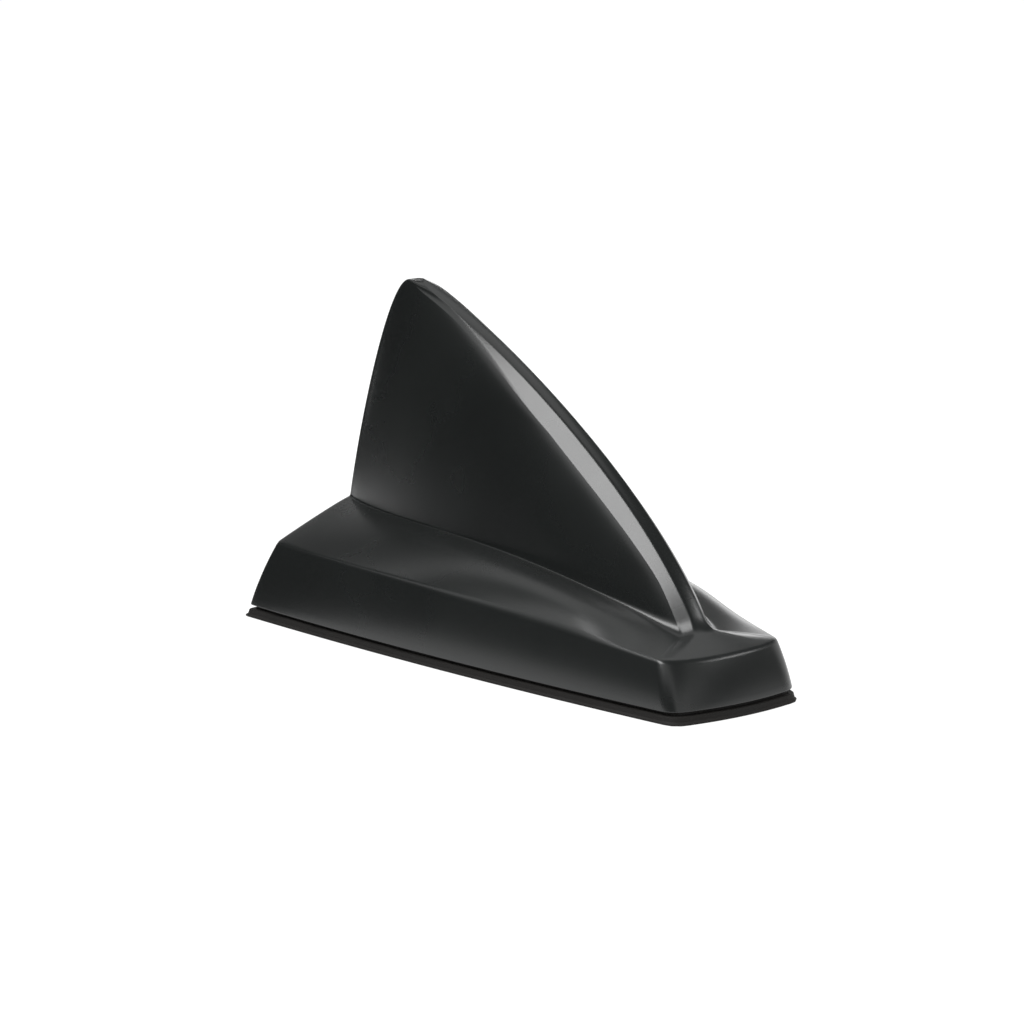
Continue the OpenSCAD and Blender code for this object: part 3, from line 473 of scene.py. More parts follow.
# turned: 1 where the front corner is one round turn, 0 where it is a flat between two rounded edges
def halfRow(place, radius, turned=0):
    build = coverBuild
    steps = build["roundSteps"]
    corner, edge, last = place(sideEnd), place(frontTurn), place(halfEnd)
    before = sideEnd - (1 - turned) * min(12, radius / max(1e-6, math.dist(corner, place(sideEnd - 1))))
    facetUnit = max(1e-6, math.dist(corner, edge) / (frontTurn - sideEnd))
    radius = min(radius, build["edgeRound"])
    ridgeUnit = max(1e-6, math.dist(edge, last) / (halfEnd - frontTurn))
    after, nearEdge = sideEnd + min(1.7, radius / facetUnit), frontTurn - min(1.7, radius / facetUnit)
    beyond = frontTurn + (1 - turned) * min(1.2, radius / ridgeUnit)
    turnSteps, facetSteps = build["turnSteps"], build["facetSteps"]
    row = [place(rearEnd * k / build["rearSteps"]) for k in range(build["rearSteps"] + 1)]
    row += [place(rearEnd + (rearTurn - rearEnd) * k / turnSteps) for k in range(1, turnSteps)]
    row += [place(mix(rearTurn, before, k / build["sideSteps"])) for k in range(build["sideSteps"] + 1)]
    flat = [bend(place(before), corner, place(after), k / steps) for k in range(1, steps + 1)]
    flat += [place(mix(after, nearEdge, k / facetSteps)) for k in range(1, facetSteps + 1)]
    flat += [bend(place(nearEdge), edge, place(beyond), k / steps) for k in range(1, steps + 1)]
    pull = cornerPull(place)
    for k, point in enumerate(flat, 1):
        turn = bend(corner, pull, edge, k / len(flat))
        row.append(tuple(mix(p, q, turned) for p, q in zip(point, turn)))
    row += [place(mix(beyond, halfEnd, k / build["frontSteps"])) for k in range(1, build["frontSteps"] + 1)]
    row[0], row[-1] = (row[0][0], 0, row[0][2]), (row[-1][0], 0, row[-1][2])
    return row


def closeRow(row):                 # near half and its mirror image as one loop
    return [(x, -y, z) for x, y, z in row] + [(x, y, z) for x, y, z in reversed(row[1:-1])]


def softEdge(u):                   # the bevel's edge is crisp at the foot and melts into the side at the tip
    b = coverBuild
    soft = b["edgeRound"] + b["edgeSoft"] * ease((u - b["edgeSoftFrom"]) / b["edgeSoftOver"])
    return soft + b["tipSoft"] * ease((u - b["tipSoftFrom"]) / b["tipSoftOver"])


def outerRows():                   # from the rim up to the tip, each row with its edge radius and its turn
    build, c = coverBuild, coverShape
    crisp, deckSteps, tipSteps = build["edgeRound"], build["deckSteps"], build["tipSteps"]
    top = lambda i: deckEdge(i)[2] - c["shoulderRound"]
    inner = lambda i: min(0.3, c["shoulderRound"] / math.dist(deckPoint(i, 1), deckEdge(i)))
    r = build["rimRound"]
    rows = [(lambda i: wallPoint(i, rimZ, r), crisp, 1),
            (lambda i: wallPoint(i, rimZ + 0.3 * r, 0.3 * r), crisp, 1)]
    for k in range(build["wallSteps"] + 1):
        rows.append((lambda i, v=k / build["wallSteps"]: wallPoint(i, mix(rimZ + r, top(i), v)), crisp, 1))
    for k in range(1, build["creaseSteps"] + 1):
        rows.append((lambda i, u=k / build["creaseSteps"]: creasePoint(i, u), crisp, 1))
    for k in range(1, deckSteps + 1):
        rows.append((lambda i, u=k / deckSteps: deckPoint(i, mix(inner(i), 1, u)), crisp, 1 - ease(k / deckSteps)))
    for k in range(1, build["flareSteps"]):
        rows.append((lambda i, u=k / build["flareSteps"]: flarePoint(i, u), crisp, 0))
    levels = [tipLevel * k / build["finSteps"] for k in range(build["finSteps"] + 1)]
    levels += [tipLevel + 0.08 * math.sin(math.pi / 2 * k / tipSteps) for k in range(1, tipSteps + 1)]
    rows += [(lambda i, u=u: finRow(i, u), softEdge(u), 0) for u in levels]
    return [closeRow(halfRow(place, radius, turned)) for place, radius, turned in rows]


def innerRows():                   # the same skin from inside, from the fin's ceiling down to the rim
    wall, fin = coverShape["wall"], coverShape["finWall"]
    rows = [lambda i, u=u: finRow(i, u, fin) for u in (0.64, 0.6, 0.5, 0.4, 0.3, 0.2, 0.1, 0)]
    rows += [lambda i: flarePoint(i, 0.5, fin)]
    rows += [lambda i, u=u: deckPoint(i, u, wall) for u in (0.9, 0.7, 0.5, 0.35)]
    rows += [lambda i, u=u: creasePoint(i, u, wall) for u in (1, 0.5, 0)]
    rows += [lambda i, v=v: wallPoint(i, mix(rimZ, deckEdge(i, wall)[2] - coverShape["shoulderRound"], v), wall)
             for v in (0.66, 0.33, 0)]
    return [closeRow(halfRow(place, coverBuild["innerRound"])) for place in rows]


def addLoft(mesh, rows, capped=True):            # skin over closed rows, with a fan over each end
    rings = [[mesh.verts.new(Vector(p) * mm) for p in row] for row in rows]
    count = len(rings[0])
    for low, high in zip(rings, rings[1:]):
        for k in range(count):
            m = (k + 1) % count
            mesh.faces.new((low[k], low[m], high[m], high[k]))
    for ring in (rings[0], rings[-1]) if capped else ():
        middle = mesh.verts.new(sum((v.co for v in ring), Vector()) / count)
        for k in range(count):
            mesh.faces.new((ring[k], ring[(k + 1) % count], middle))


def finishPiece(mesh, name, material, replaced=(), sharpAngle=35, weighted=True):
    bmesh.ops.recalc_face_normals(mesh, faces=mesh.faces)
    data = bpy.data.meshes.new(name)
    mesh.to_mesh(data)
    mesh.free()
    for face in data.polygons:
        face.use_smooth = True
    data.set_sharp_from_angle(angle=math.radians(sharpAngle))
    piece = bpy.data.objects.new(name, data)
    scene.collection.objects.link(piece)
    data.materials.append(material)
    if weighted:
        even = piece.modifiers.new("evenNormals", "WEIGHTED_NORMAL")
        even.keep_sharp = True
    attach(piece, "root")
    if replaced:
        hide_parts(*replaced)
    return piece


def deckHeight(x, y):
    c, s = coverShape, along(x)
    q = (x - c["trailX"]) / (c["noseX"] - c["trailX"])
    half, foot = shoulderHalf(s), finHalf(q, 0)
    top = mix(c["trailFoot"], c["noseFoot"], q) + footRise(q)
    return mix(shoulderZ(s), top, dome((half - abs(y)) / (half - foot), q))


def postPlaces():
    c, places = coverShape, []
    for x in (12 - c["rearReach"], c["frontReach"] - 20):
        inset = max(lean(along(x)) + c["wall"] + coverBuild["postRadius"] - 0.6, 8.2)
        places += [(x, side * (footHalf(along(x)) - inset)) for side in (-1, 1)]
    return places


def addPost(mesh, ceiling, x, y):  # screw boss that grows out of the deck's underside
    build, count = coverBuild, coverBuild["postSides"]
    bore, outside, soft = build["postBore"], build["postRadius"], build["postChamfer"]
    rows = []
    for radius, height in ((bore, build["postHole"]), (bore, plateTop + soft), (bore + soft, plateTop),
                           (outside - soft, plateTop), (outside, plateTop + soft), (outside, None)):
        row = []
        for k in range(count):
            a = 2 * math.pi * k / count
            px, py = x + radius * math.cos(a), y + radius * math.sin(a)
            if height is None:
                hit = ceiling.ray_cast(Vector((px, py, plateTop)) * mm, Vector((0, 0, 1)))[0]
                row.append((px, py, hit.z / mm + build["postSink"]))
            else:
                row.append((px, py, height))
        rows.append(row)
    addLoft(mesh, rows)


def addGusset(mesh, x, side):      # web between the wall and the deck, with a hollow free edge
    b, c, s = coverBuild, coverShape, along(x)
    low, far = shoulderZ(s) - b["gussetDepth"], shoulderHalf(s) - b["gussetReach"]
    corners = [(footHalf(s) - lean(s) * low / shoulderZ(s) - c["wall"] / 2, low),
               (shoulderHalf(s) - c["wall"] * 0.6, shoulderZ(s) - c["wall"] * 0.6),
               (far, deckHeight(x, far) - c["wall"] * 0.55)]
    pull = (corners[0][0] - b["gussetSag"][0], corners[0][1] + b["gussetSag"][1])
    corners.append(bend(corners[2], pull, corners[0], 0.5))
    rows = [[(x + dx, side * y, z) for y, z in corners] for dx in (-b["gusset"] / 2, b["gusset"] / 2)]
    addLoft(mesh, rows)


coverLook = {
    "dark": (0.0148, 0.0165, 0.0161), "light": (0.0174, 0.0194, 0.019), "worn": (0.022, 0.025, 0.025),
    "rough": (0.25, 0.29), "grain": 3600, "mottle": 26, "bump": 0.3, "depth": 0.01,
    "wearLow": 0.56, "wearHigh": 0.72, "dust": 0.012, "specular": 0.6,
}
coverPlastic = makeFinish("coverPlastic", coverLook)
shell = bmesh.new()
addLoft(shell, innerRows() + outerRows())
shellTree = BVHTree.FromBMesh(shell)
for post in postPlaces():
    addPost(shell, shellTree, *post)
for gussetX in coverBuild["gussetPlaces"]:
    for side in (-1, 1):
        addGusset(shell, gussetX, side)
cover = finishPiece(shell, "finCover", coverPlastic, ["cover"])
print("cover made,", len(cover.data.polygons), "faces")


sealBuild = {                      # the rubber strip and its underside, in millimetres
    "lipOut": 0.35, "lipHeight": 0.6, "grooveDepth": 1.2, "grooveDrop": 0.4, "plate": 1.6, "channelDepth": 0.5,
    "holeRadius": 16.95, "screwHole": 3.3, "cutSpan": (-1, 4), "cutterSides": 64, "cornerRound": 0.3,
}


def cutRound(piece, places):       # round holes straight down through a piece, in one cut
    cutter = bmesh.new()
    for x, y, radius, low, high in places:
        bmesh.ops.create_cone(cutter, cap_ends=True, segments=sealBuild["cutterSides"], radius1=radius * mm,
                              radius2=radius * mm, depth=(high - low) * mm,
                              matrix=Matrix.Translation(Vector((x, y, (low + high) / 2)) * mm))
    data = bpy.data.meshes.new("cutter")
    cutter.to_mesh(data)
    cutter.free()
    tool = bpy.data.objects.new("cutter", data)
    scene.collection.objects.link(tool)
    hole = piece.modifiers.new("hole", "BOOLEAN")
    hole.operation, hole.solver, hole.object, hole.use_self = "DIFFERENCE", "EXACT", tool, True
    bpy.context.view_layer.update()
    made = bpy.data.meshes.new_from_object(piece.evaluated_get(bpy.context.evaluated_depsgraph_get()))
    piece.modifiers.remove(hole)
    old, piece.data = piece.data, made
    bpy.data.meshes.remove(old)
    bpy.data.objects.remove(tool)
    bpy.data.meshes.remove(data)


def sealRows():
    b, c = sealBuild, coverShape
    out, lip, top = b["lipOut"], b["lipHeight"], c["sealHeight"] - b["grooveDrop"]
    inside = c["wall"] + 0.3
    profile = [(2.0, b["channelDepth"]), (1.7, 0), (0.1, 0), (-out * 0.7, 0.08), (-out, 0.22), (-out, lip - 0.25),
               (-out * 0.8, lip - 0.08), (-0.06, lip + 0.12), (0, lip + 0.24), (0.02, top - 0.24), (0.08, top - 0.08),
               (0.3, top), (b["grooveDepth"], top), (b["grooveDepth"], rimZ), (inside - 0.1, rimZ),
               (inside, rimZ - 0.1), (inside, b["plate"])]
    rows = [lambda i, off=off, z=z: wallPoint(i, z, off) for off, z in profile]
    under = [(4.3, 0), (4.0, 0), (3.7, b["channelDepth"])]
    rows = [lambda i, off=off, z=z: wallPoint(i, z, off) for off, z in under] + rows
    return [closeRow(halfRow(place, b["cornerRound"])) for place in rows]


sealLook = {
    "dark": (0.0056, 0.0049, 0.0043), "light": (0.0092, 0.0079, 0.0069), "worn": (0.022, 0.019, 0.017),
    "rough": (0.62, 0.76), "grain": 2400, "mottle": 90, "bump": 0.5, "depth": 0.02,
    "wearLow": 0.53, "wearHigh": 0.68, "dust": 0.05, "specular": 0.35,
}
sealRubber = makeFinish("sealRubber", sealLook)
strip = bmesh.new()
addLoft(strip, sealRows())
seal = finishPiece(strip, "roofSeal", sealRubber, ["base_seal"], weighted=False)
holes = [(0, 0, sealBuild["holeRadius"])] + [(x, y, sealBuild["screwHole"]) for x, y in postPlaces()]
cutRound(seal, [(*hole, *sealBuild["cutSpan"]) for hole in holes])
seal.data.set_sharp_from_angle(angle=math.radians(35))
seal.modifiers.new("evenNormals", "WEIGHTED_NORMAL").keep_sharp = True
print("seal made,", len(seal.data.polygons), "faces")


studBuild = {                      # hollow threaded stud, in millimetres
    "radius": 7, "bore": 5, "length": 17, "pitch": 1.0, "threadDepth": 0.55, "segments": 48, "perTurn": 8,
    "crestShare": 0.12, "flankShare": 0.76, "lead": 1.2, "chamfer": 0.7,
    "collar": 15, "collarLow": -0.8, "collarSoft": 0.4, "collarChamfer": 0.25,
    "flangeLow": 3.5, "flangeRadius": 12, "flangeRound": 0.25, "blockRadius": 5.55, "blockLow": 1.0,
}


def threadRadius(z, angle):        # rounded thread that fades at both ends
    b = studBuild
    turn = (z / b["pitch"] - angle / (2 * math.pi)) % 1
    tooth = min(1, max(0, (abs(turn - 0.5) * 2 - b["crestShare"]) / b["flankShare"]))
    ends = min(ease((z + b["length"]) / b["lead"]), ease((b["collarLow"] - z) / b["lead"]))
    chamfer = max(0, b["chamfer"] - (z + b["length"]))
    return b["radius"] - b["threadDepth"] * (tooth * ends) - chamfer


def roundRow(radius, z):           # radius: a number, or a function of the angle
    count = studBuild["segments"]
    row = []
    for k in range(count):
        a = 2 * math.pi * k / count
        size = radius(a) if callable(radius) else radius
        row.append((size * math.cos(a), size * math.sin(a), z))
    return row


def squareRow(inset, z):           # the same number of points round a square with soft corners
    half, count = studBuild["collar"] / 2 - inset, studBuild["segments"]
    limit = half * math.sqrt(2) - studBuild["collarSoft"]
    row = []
    for k in range(count):
        a = 2 * math.pi * k / count
        x, y = math.cos(a), math.sin(a)
        size = min(half / max(abs(x), abs(y)), limit)
        row.append((x * size, y * size, z))
    return row


def addStud(mesh):
    b = studBuild
    block, bore, cut, bottom = b["blockRadius"], b["bore"], b["chamfer"], -b["length"]
    rows = [roundRow(block, plateTop), roundRow(block, b["blockLow"]), roundRow(bore, b["blockLow"]),
            roundRow(bore, bottom + cut), roundRow(bore + cut, bottom)]
    turns = int((b["length"] + b["collarLow"]) / b["pitch"] * b["perTurn"])
    for step in range(turns + 1):
        z = mix(bottom, b["collarLow"], step / turns)
        rows.append(roundRow(lambda a, z=z: threadRadius(z, a), z))
    low, cut = b["collarLow"], b["collarChamfer"]
    rows += [squareRow(cut, low), squareRow(0, low + cut), squareRow(0, b["flangeLow"])]
    r, soft = b["flangeRadius"], b["flangeRound"]
    rows += [roundRow(r - soft, b["flangeLow"]), roundRow(r, b["flangeLow"] + soft), roundRow(r, plateTop - soft),
             roundRow(r - soft, plateTop), roundRow(block, plateTop)]
    addLoft(mesh, rows, False)
    bmesh.ops.remove_doubles(mesh, verts=mesh.verts, dist=1e-7)


zincLook = {
    "dark": (0.5, 0.51, 0.52), "light": (0.62, 0.63, 0.64), "worn": (0.75, 0.75, 0.75), "metal": 1,
    "rough": (0.22, 0.36), "grain": 1800, "mottle": 70, "stretch": 6, "bump": 0.15, "depth": 0.01,
    "wearLow": 0.53, "wearHigh": 0.66, "dust": 0.03,
}
zincPlate = makeFinish("zincPlate", zincLook)
studMesh = bmesh.new()
addStud(studMesh)
stud = finishPiece(studMesh, "threadedStud", zincPlate, ["hollow_stud"],
                   sharpAngle=30, weighted=False)
print("stud made,", len(stud.data.polygons), "faces")


coilBuild = {                      # enamelled coil on its post, in millimetres
    "x": -12, "low": 13.4, "radius": 3.55, "wire": 0.9, "gap": 0.1, "turns": 15, "pitch": 1.125, "perTurn": 24,
}


def addCoil():                     # the wire as one curve with a round section
    b = coilBuild
    curve = bpy.data.curves.new("radioCoilWire", "CURVE")
    curve.dimensions, curve.bevel_depth, curve.bevel_resolution = "3D", b["wire"] / 2 * mm, 4
    curve.use_fill_caps = True
    count = b["turns"] * b["perTurn"]
    spline = curve.splines.new("POLY")
    spline.points.add(count)
    start = b["low"] + b["wire"] / 2 + b["gap"]
    height = b["turns"] * b["pitch"] - b["wire"] - b["gap"]
    for k in range(count + 1):
        a = -math.pi / 2 + 2 * math.pi * k / b["perTurn"]
        spot = (b["x"] + b["radius"] * math.cos(a), b["radius"] * math.sin(a), start + height * k / count)
        spline.points[k].co = (*(v * mm for v in spot), 1)
    wire = bpy.data.objects.new("radioCoilWire", curve)
    scene.collection.objects.link(wire)
    return wire


copperLook = {
    "dark": (0.42, 0.16, 0.06), "light": (0.52, 0.21, 0.08), "metal": 1, "rough": (0.22, 0.34), "coat": 0.6,
    "grain": 900, "mottle": 240, "bump": 0.05, "depth": 0.004, "dust": 0,
}
copperWire = makeFinish("copperWire", copperLook)
coil = addCoil()
coil.data.materials.append(copperWire)
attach(coil, "root")
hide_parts("radio_coil")
print("coil made")


# finishes of the CAD nodes that keep their own shape
boardLook = {
    "dark": (0.008, 0.075, 0.036), "light": (0.012, 0.095, 0.047), "worn": (0.02, 0.12, 0.06),
    "rough": (0.28, 0.36), "grain": 1500, "mottle": 120, "bump": 0.12, "depth": 0.01, "coat": 0.3, "dust": 0.02,
    "traceTint": (0.03, 0.17, 0.08, 1), "padTint": (0.55, 0.43, 0.2, 1), "edgeTint": (0.26, 0.22, 0.1, 1),
    "traceCells": ("DISTANCE_TO_EDGE", 260, 0.55, 0.03, 0.06), "padCells": ("F1", 420, 0.4, 0.1, 0.14),
}
ceramicLook = {
    "dark": (0.47, 0.36, 0.2), "light": (0.54, 0.42, 0.25), "rough": (0.5, 0.62), "grain": 2600, "mottle": 200,
    "bump": 0.25, "depth": 0.015, "dust": 0.02, "silverTint": (0.72, 0.71, 0.68, 1), "silverAbove": 12.45,
}
plainLooks = {
    "ringRubber": {"dark": (0.006, 0.006, 0.006), "light": (0.011, 0.011, 0.011), "rough": (0.5, 0.62),
                   "grain": 1800, "mottle": 130, "bump": 0.3, "depth": 0.015, "dust": 0.03, "specular": 0.4},
    "foamRubber": {"dark": (0.016, 0.018, 0.021), "light": (0.028, 0.031, 0.036), "rough": (0.85, 0.95),
                   "grain": 1300, "mottle": 500, "bump": 0.9, "depth": 0.08, "dust": 0.04, "specular": 0.25},
    "castAlloy": {"dark": (0.3, 0.31, 0.32), "light": (0.4, 0.41, 0.42), "worn": (0.6, 0.6, 0.6), "metal": 1,
                  "rough": (0.42, 0.58), "grain": 1400, "mottle": 90, "bump": 0.5, "depth": 0.03, "dust": 0.04},
    "springSteel": {"dark": (0.48, 0.48, 0.46), "light": (0.58, 0.58, 0.56), "worn": (0.72, 0.72, 0.7), "metal": 1,
                    "rough": (0.26, 0.38), "grain": 1600, "mottle": 80, "bump": 0.15, "depth": 0.01, "dust": 0.03},
    "screwSteel": {"dark": (0.42, 0.44, 0.46), "light": (0.52, 0.54, 0.56), "worn": (0.7, 0.71, 0.72), "metal": 1,
                   "rough": (0.24, 0.36), "grain": 2200, "mottle": 220, "bump": 0.1, "depth": 0.006, "dust": 0.02},
    "tinPlate": {"dark": (0.52, 0.53, 0.52), "light": (0.6, 0.61, 0.6), "worn": (0.72, 0.72, 0.7), "metal": 1,
                 "rough": (0.3, 0.44), "grain": 700, "mottle": 160, "stretch": 0.2, "bump": 0.12, "depth": 0.01,
                 "dust": 0.02},
    "chipPlastic": {"dark": (0.012, 0.012, 0.014), "light": (0.017, 0.017, 0.02), "rough": (0.5, 0.62),
                    "grain": 4200, "mottle": 300, "bump": 0.35, "depth": 0.01, "dust": 0.02},
    "socketPlastic": {"dark": (0.13, 0.095, 0.25), "light": (0.165, 0.12, 0.3), "rough": (0.38, 0.48),
                      "grain": 3000, "mottle": 150, "bump": 0.15, "depth": 0.008, "dust": 0.02},
    "foamTape": {"dark": (0.6, 0.56, 0.48), "light": (0.68, 0.64, 0.56), "rough": (0.75, 0.9), "grain": 1700,
                 "mottle": 300, "bump": 0.5, "depth": 0.03, "dust": 0.02, "specular": 0.3},
    "contactBrass": {"dark": (0.6, 0.4, 0.13), "light": (0.7, 0.49, 0.18), "worn": (0.8, 0.62, 0.3), "metal": 1,
                     "rough": (0.22, 0.32), "grain": 1500, "mottle": 300, "bump": 0.08, "depth": 0.005, "dust": 0},
    "carrierPlastic": {"dark": (0.62, 0.58, 0.49), "light": (0.69, 0.65, 0.56), "rough": (0.4, 0.5), "grain": 2600,
                       "mottle": 70, "bump": 0.15, "depth": 0.01, "dust": 0.02},
}


def upMask(tree, low, high):       # 1 where a face looks up or down, 0 on its edges
    shape, split = addNode(tree, "ShaderNodeNewGeometry"), addNode(tree, "ShaderNodeSeparateXYZ")
    wire(tree, shape, "Normal", split, "Vector")
    size = mathNode(tree, "ABSOLUTE", (split, "Z"))
    mask = addNode(tree, "ShaderNodeMapRange", None, {"From Min": low, "From Max": high})
    wire(tree, size, "Value", mask, "Value")
    return mask


def overpaint(material, mask, maskSocket, tint):           # a tint over the base colour where the mask is 1
    tree = material.node_tree
    shader = next(n for n in tree.nodes if n.type == "BSDF_PRINCIPLED")
    under = shader.inputs["Base Color"].links[0].from_socket
    paint = addNode(tree, "ShaderNodeMix", {"data_type": "RGBA"})
    paint.inputs["B"].default_value = tint
    tree.links.new(under, paint.inputs["A"])
    wire(tree, mask, maskSocket, paint, "Factor")
    wire(tree, paint, "Result", shader, "Base Color")
    return shader


# 1 near the cells' points or edges, fading between the distances near and far
def cellMask(tree, feature, scale, randomness, near, far):
    place = addNode(tree, "ShaderNodeTexCoord")
    cells = addNode(tree, "ShaderNodeTexVoronoi", {"feature": feature}, {"Scale": scale, "Randomness": randomness})
    mask = addNode(tree, "ShaderNodeMapRange", None, {"From Min": near, "From Max": far, "To Min": 1, "To Max": 0})
    wire(tree, place, "Object", cells, "Vector")
    wire(tree, cells, "Distance", mask, "Value")
    return mask


def makeBoard():
    look, material = boardLook, makeFinish("circuitBoard", boardLook)
    tree = material.node_tree
    overpaint(material, cellMask(tree, *look["traceCells"]), "Result", look["traceTint"])
    overpaint(material, cellMask(tree, *look["padCells"]), "Result", look["padTint"])
    side = mathNode(tree, "SUBTRACT", 1, (upMask(tree, 0.4, 0.6), "Result"))
    overpaint(material, side, "Value", look["edgeTint"])
    return material


def makePhoneBoard():              # the same board standing up, so its faces look to the sides
    material = makeFinish("uprightBoard", boardLook)
    tree = material.node_tree
    place = addNode(tree, "ShaderNodeTexCoord")
    bands = addNode(tree, "ShaderNodeTexBrick", None, {"Scale": 120, "Mortar Size": 0.03, "Brick Width": 0.9,
                                                       "Row Height": 0.35})
    turn = addNode(tree, "ShaderNodeMapping", None, {"Rotation": (math.radians(90), 0, 0)})
    wire(tree, place, "Object", turn, "Vector")
    wire(tree, turn, "Vector", bands, "Vector")
    overpaint(material, bands, "Fac", boardLook["traceTint"])
    return material


def makeCeramic():
    look, material = ceramicLook, makeFinish("firedCeramic", ceramicLook)
    tree = material.node_tree
    place, split = addNode(tree, "ShaderNodeTexCoord"), addNode(tree, "ShaderNodeSeparateXYZ")
    wire(tree, place, "Object", split, "Vector")
    high = mathNode(tree, "GREATER_THAN", (split, "Z"), look["silverAbove"] * mm)
    shader = overpaint(material, high, "Value", look["silverTint"])
    wire(tree, high, "Value", shader, "Metallic")
    return material


def dress(material, *names):
    for name in names:
        node = nodes[name]
        node.data.materials.clear()
        node.data.materials.append(material)


finishes = {name: makeFinish(name, look) for name, look in plainLooks.items()}
dress(finishes["ringRubber"], "cover_seal")
dress(finishes["foamRubber"], "stud_seal", "foam_pad")
dress(finishes["castAlloy"], "base_plate")
dress(finishes["springSteel"], "claw_washer")
dress(zincPlate, "stud_nut")
dress(finishes["screwSteel"], "cover_screws", "board_screws")
dress(finishes["tinPlate"], "shield_can", "top_load")
dress(finishes["chipPlastic"], "board_chips")
dress(finishes["socketPlastic"], "coax_block")
dress(finishes["foamTape"], "patch_tape")
dress(finishes["contactBrass"], "patch_pin", "coil_pin", "link_strip")
dress(finishes["carrierPlastic"], "antenna_carrier")
dress(makeBoard(), "main_board")
dress(makePhoneBoard(), "phone_board")
dress(makeCeramic(), "patch_antenna")
print("CAD nodes dressed")


studioSetup = {                    # lights, floor and camera; lengths in metres
    "floorSize": 14, "floorDrop": 0.00006, "floorGlow": 0.93, "floorTone": 0.25, "worldFill": 0.35,
    "keyPlace": (0.012, -0.489, 0.663), "keyAlong": (-0.83, 0.38, 0.39), "keySize": (0.66, 0.27), "keyPower": 5.0,
    "topPlace": (-0.366, 0.211, 0.825), "topAlong": (0.5, 0.86, 0), "topSize": (0.9, 0.7), "topPower": 1.4,
    "edgePlace": (0.48, 0.48, 0.46), "edgeAlong": (-1, 1, 0), "edgeSize": (0.5, 0.1), "edgePower": 1.1,
    "rimPlace": (-0.75, 0.9, 0.28), "rimAlong": (0.77, 0.64, 0), "rimSize": (0.5, 0.4), "rimPower": 1.1,
    "fillPlace": (0.35, 0.8, 0.6), "fillAlong": (1, 0, 0), "fillSize": (0.6, 0.6), "fillPower": 3.0,
    "aim": (0.00388, 0, 0.02882), "azimuth": 51.96, "elevation": 12.38, "distance": 0.8235,
    "lens": 133.63, "sensor": 36, "shift": (-0.0266, 0.0101),
    "flagTone": (0.003, 0.003, 0.003, 1),
}
flagSetup = {                      # black cards: middle, width, height, and turn in degrees
    "sideFlag": ((-0.27, -0.24, 0.11), 0.85, 0.22, (90, 0, -42)),
    "tailFlag": ((-0.33, 0.02, 0.0004), 0.22, 0.19, (0, 0, 0)),
    "lowFlag": ((-0.13, -0.2475, 0.0004), 0.85, 0.345, (0, 0, 0)),
    "frontFlag": ((0.32, 0.32, 0.13), 0.5, 0.16, (90, 0, -45)),
    "nearFlag": ((0.25, -0.4, 0.12), 0.55, 0.24, (90, 0, 30)),
    "ceilingFlag": ((-0.3, 1.4, 1.3), 6, 4.4, (0, 0, 0)),
}


def addCard(name, width, height, z=0):
    data = bpy.data.meshes.new(name)
    w, h = width / 2, height / 2
    data.from_pydata([(-w, -h, z), (w, -h, z), (w, h, z), (-w, h, z)], [], [(0, 1, 2, 3)])
    card = bpy.data.objects.new(name, data)
    scene.collection.objects.link(card)
    return card


def directMask(tree):              # 1 for rays that look at a surface, 0 for those that only light others
    rays = addNode(tree, "ShaderNodeLightPath")
    seen = mathNode(tree, "ADD", (rays, "Is Camera Ray"), (rays, "Is Glossy Ray"), True)
    return mathNode(tree, "ADD", (seen, "Value"), (rays, "Is Transmission Ray"), True)


def makeFloor():                   # pale and glowing from above, clear from below
    s = studioSetup
    floor = addCard("paleFloor", s["floorSize"], s["floorSize"], -s["floorDrop"])
    material = bpy.data.materials.new("paleFloor")
    material.use_nodes = True
    tree = material.node_tree
    tree.nodes.clear()
    output = addNode(tree, "ShaderNodeOutputMaterial")
    diffuse = addNode(tree, "ShaderNodeBsdfDiffuse", None, {"Color": (s["floorTone"],) * 3 + (1,)})
    glow = addNode(tree, "ShaderNodeEmission", None, {"Color": (1, 1, 1, 1)})
    power = mathNode(tree, "MULTIPLY", (directMask(tree), "Value"), s["floorGlow"])
    wire(tree, power, "Value", glow, "Strength")
    both = addNode(tree, "ShaderNodeAddShader")
    wire(tree, diffuse, "BSDF", both, 0)
    wire(tree, glow, "Emission", both, 1)
    clear = addNode(tree, "ShaderNodeBsdfTransparent")
    side = addNode(tree, "ShaderNodeNewGeometry")
    choose = addNode(tree, "ShaderNodeMixShader")
    wire(tree, side, "Backfacing", choose, "Fac")
    tree.links.new(both.outputs[0], choose.inputs[1])
    tree.links.new(clear.outputs[0], choose.inputs[2])
    wire(tree, choose, "Shader", output, "Surface")
    floor.data.materials.append(material)


def makeWorld():                   # white to the camera and in reflections, dimmer as a light
    world = bpy.data.worlds.new("studioWorld")
    scene.world = world
    world.use_nodes = True
    tree = world.node_tree
    tree.nodes.clear()
    output, sky = addNode(tree, "ShaderNodeOutputWorld"), addNode(tree, "ShaderNodeBackground")
    level = addNode(tree, "ShaderNodeMapRange", None, {"To Min": studioSetup["worldFill"], "To Max": 1})
    wire(tree, directMask(tree), "Value", level, "Value")
    wire(tree, level, "Result", sky, "Strength")
    wire(tree, sky, "Background", output, "Surface")


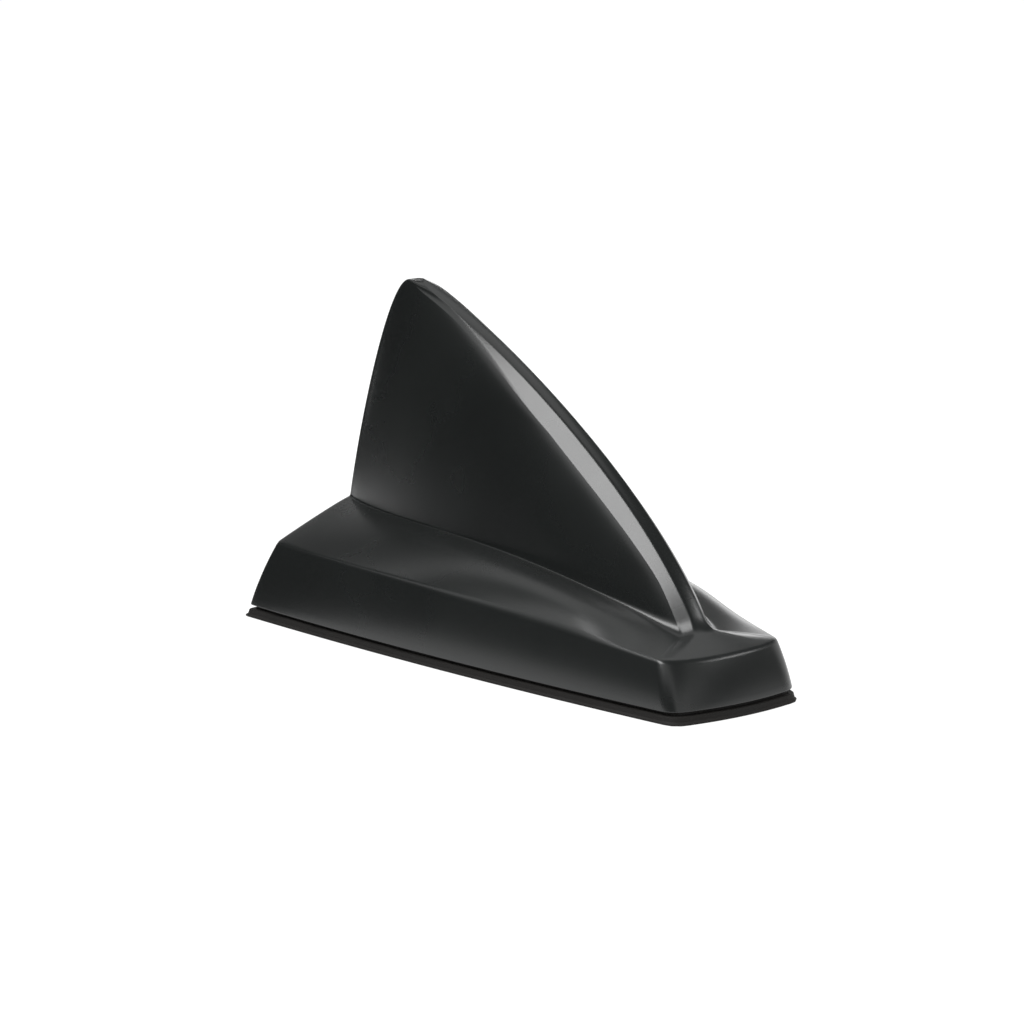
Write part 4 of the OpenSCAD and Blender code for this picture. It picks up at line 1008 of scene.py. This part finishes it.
def addSoftbox(name, place, across, size, power):          # an area lamp that faces the aim
    light = bpy.data.lights.new(name, "AREA")
    light.shape, light.size, light.size_y, light.energy = "RECTANGLE", size[0], size[1], power
    lamp = bpy.data.objects.new(name, light)
    scene.collection.objects.link(lamp)
    away = (Vector(place) - Vector(studioSetup["aim"])).normalized()
    side = (Vector(across) - away * away.dot(Vector(across))).normalized()
    lamp.matrix_world = Matrix.Translation(place) @ Matrix((side, away.cross(side), away)).transposed().to_4x4()
    lamp.visible_camera = False
    return lamp


def addFlag(name, middle, width, height, turn):            # a black card that only reflections see
    card = addCard(name, width, height)
    card.location, card.rotation_euler = middle, [math.radians(angle) for angle in turn]
    material = bpy.data.materials.new(name)
    material.use_nodes = True
    shader = material.node_tree.nodes["Principled BSDF"]
    shader.inputs["Base Color"].default_value = studioSetup["flagTone"]
    shader.inputs["Roughness"].default_value = 1
    shader.inputs["Specular IOR Level"].default_value = 0
    card.data.materials.append(material)
    card.visible_camera = card.visible_shadow = card.visible_diffuse = card.visible_transmission = False


def makeCamera():                  # the camera that was fitted to the photo's edges
    s = studioSetup
    a, e = math.radians(s["azimuth"]), math.radians(s["elevation"])
    back = Vector((math.sin(a) * math.cos(e), -math.cos(a) * math.cos(e), math.sin(e)))
    right = Vector((math.cos(a), math.sin(a), 0))
    up = back.cross(right)
    lens = bpy.data.cameras.new("photoCamera")
    lens.lens, lens.sensor_width, lens.sensor_fit = s["lens"], s["sensor"], "HORIZONTAL"
    lens.shift_x, lens.shift_y = s["shift"]
    camera = bpy.data.objects.new("photoCamera", lens)
    scene.collection.objects.link(camera)
    turn = Matrix((right, up, back)).transposed().to_4x4()
    camera.matrix_world = Matrix.Translation(Vector(s["aim"]) + back * s["distance"]) @ turn
    scene.camera = camera


makeFloor()
makeWorld()
for part in ("key", "top", "edge", "rim", "fill"):
    lamp = addSoftbox(part + "Softbox", *(studioSetup[part + word] for word in ("Place", "Along", "Size", "Power")))
    lamp.visible_glossy = part != "fill"
for name, card in flagSetup.items():
    addFlag(name, *card)
makeCamera()
print("studio made")
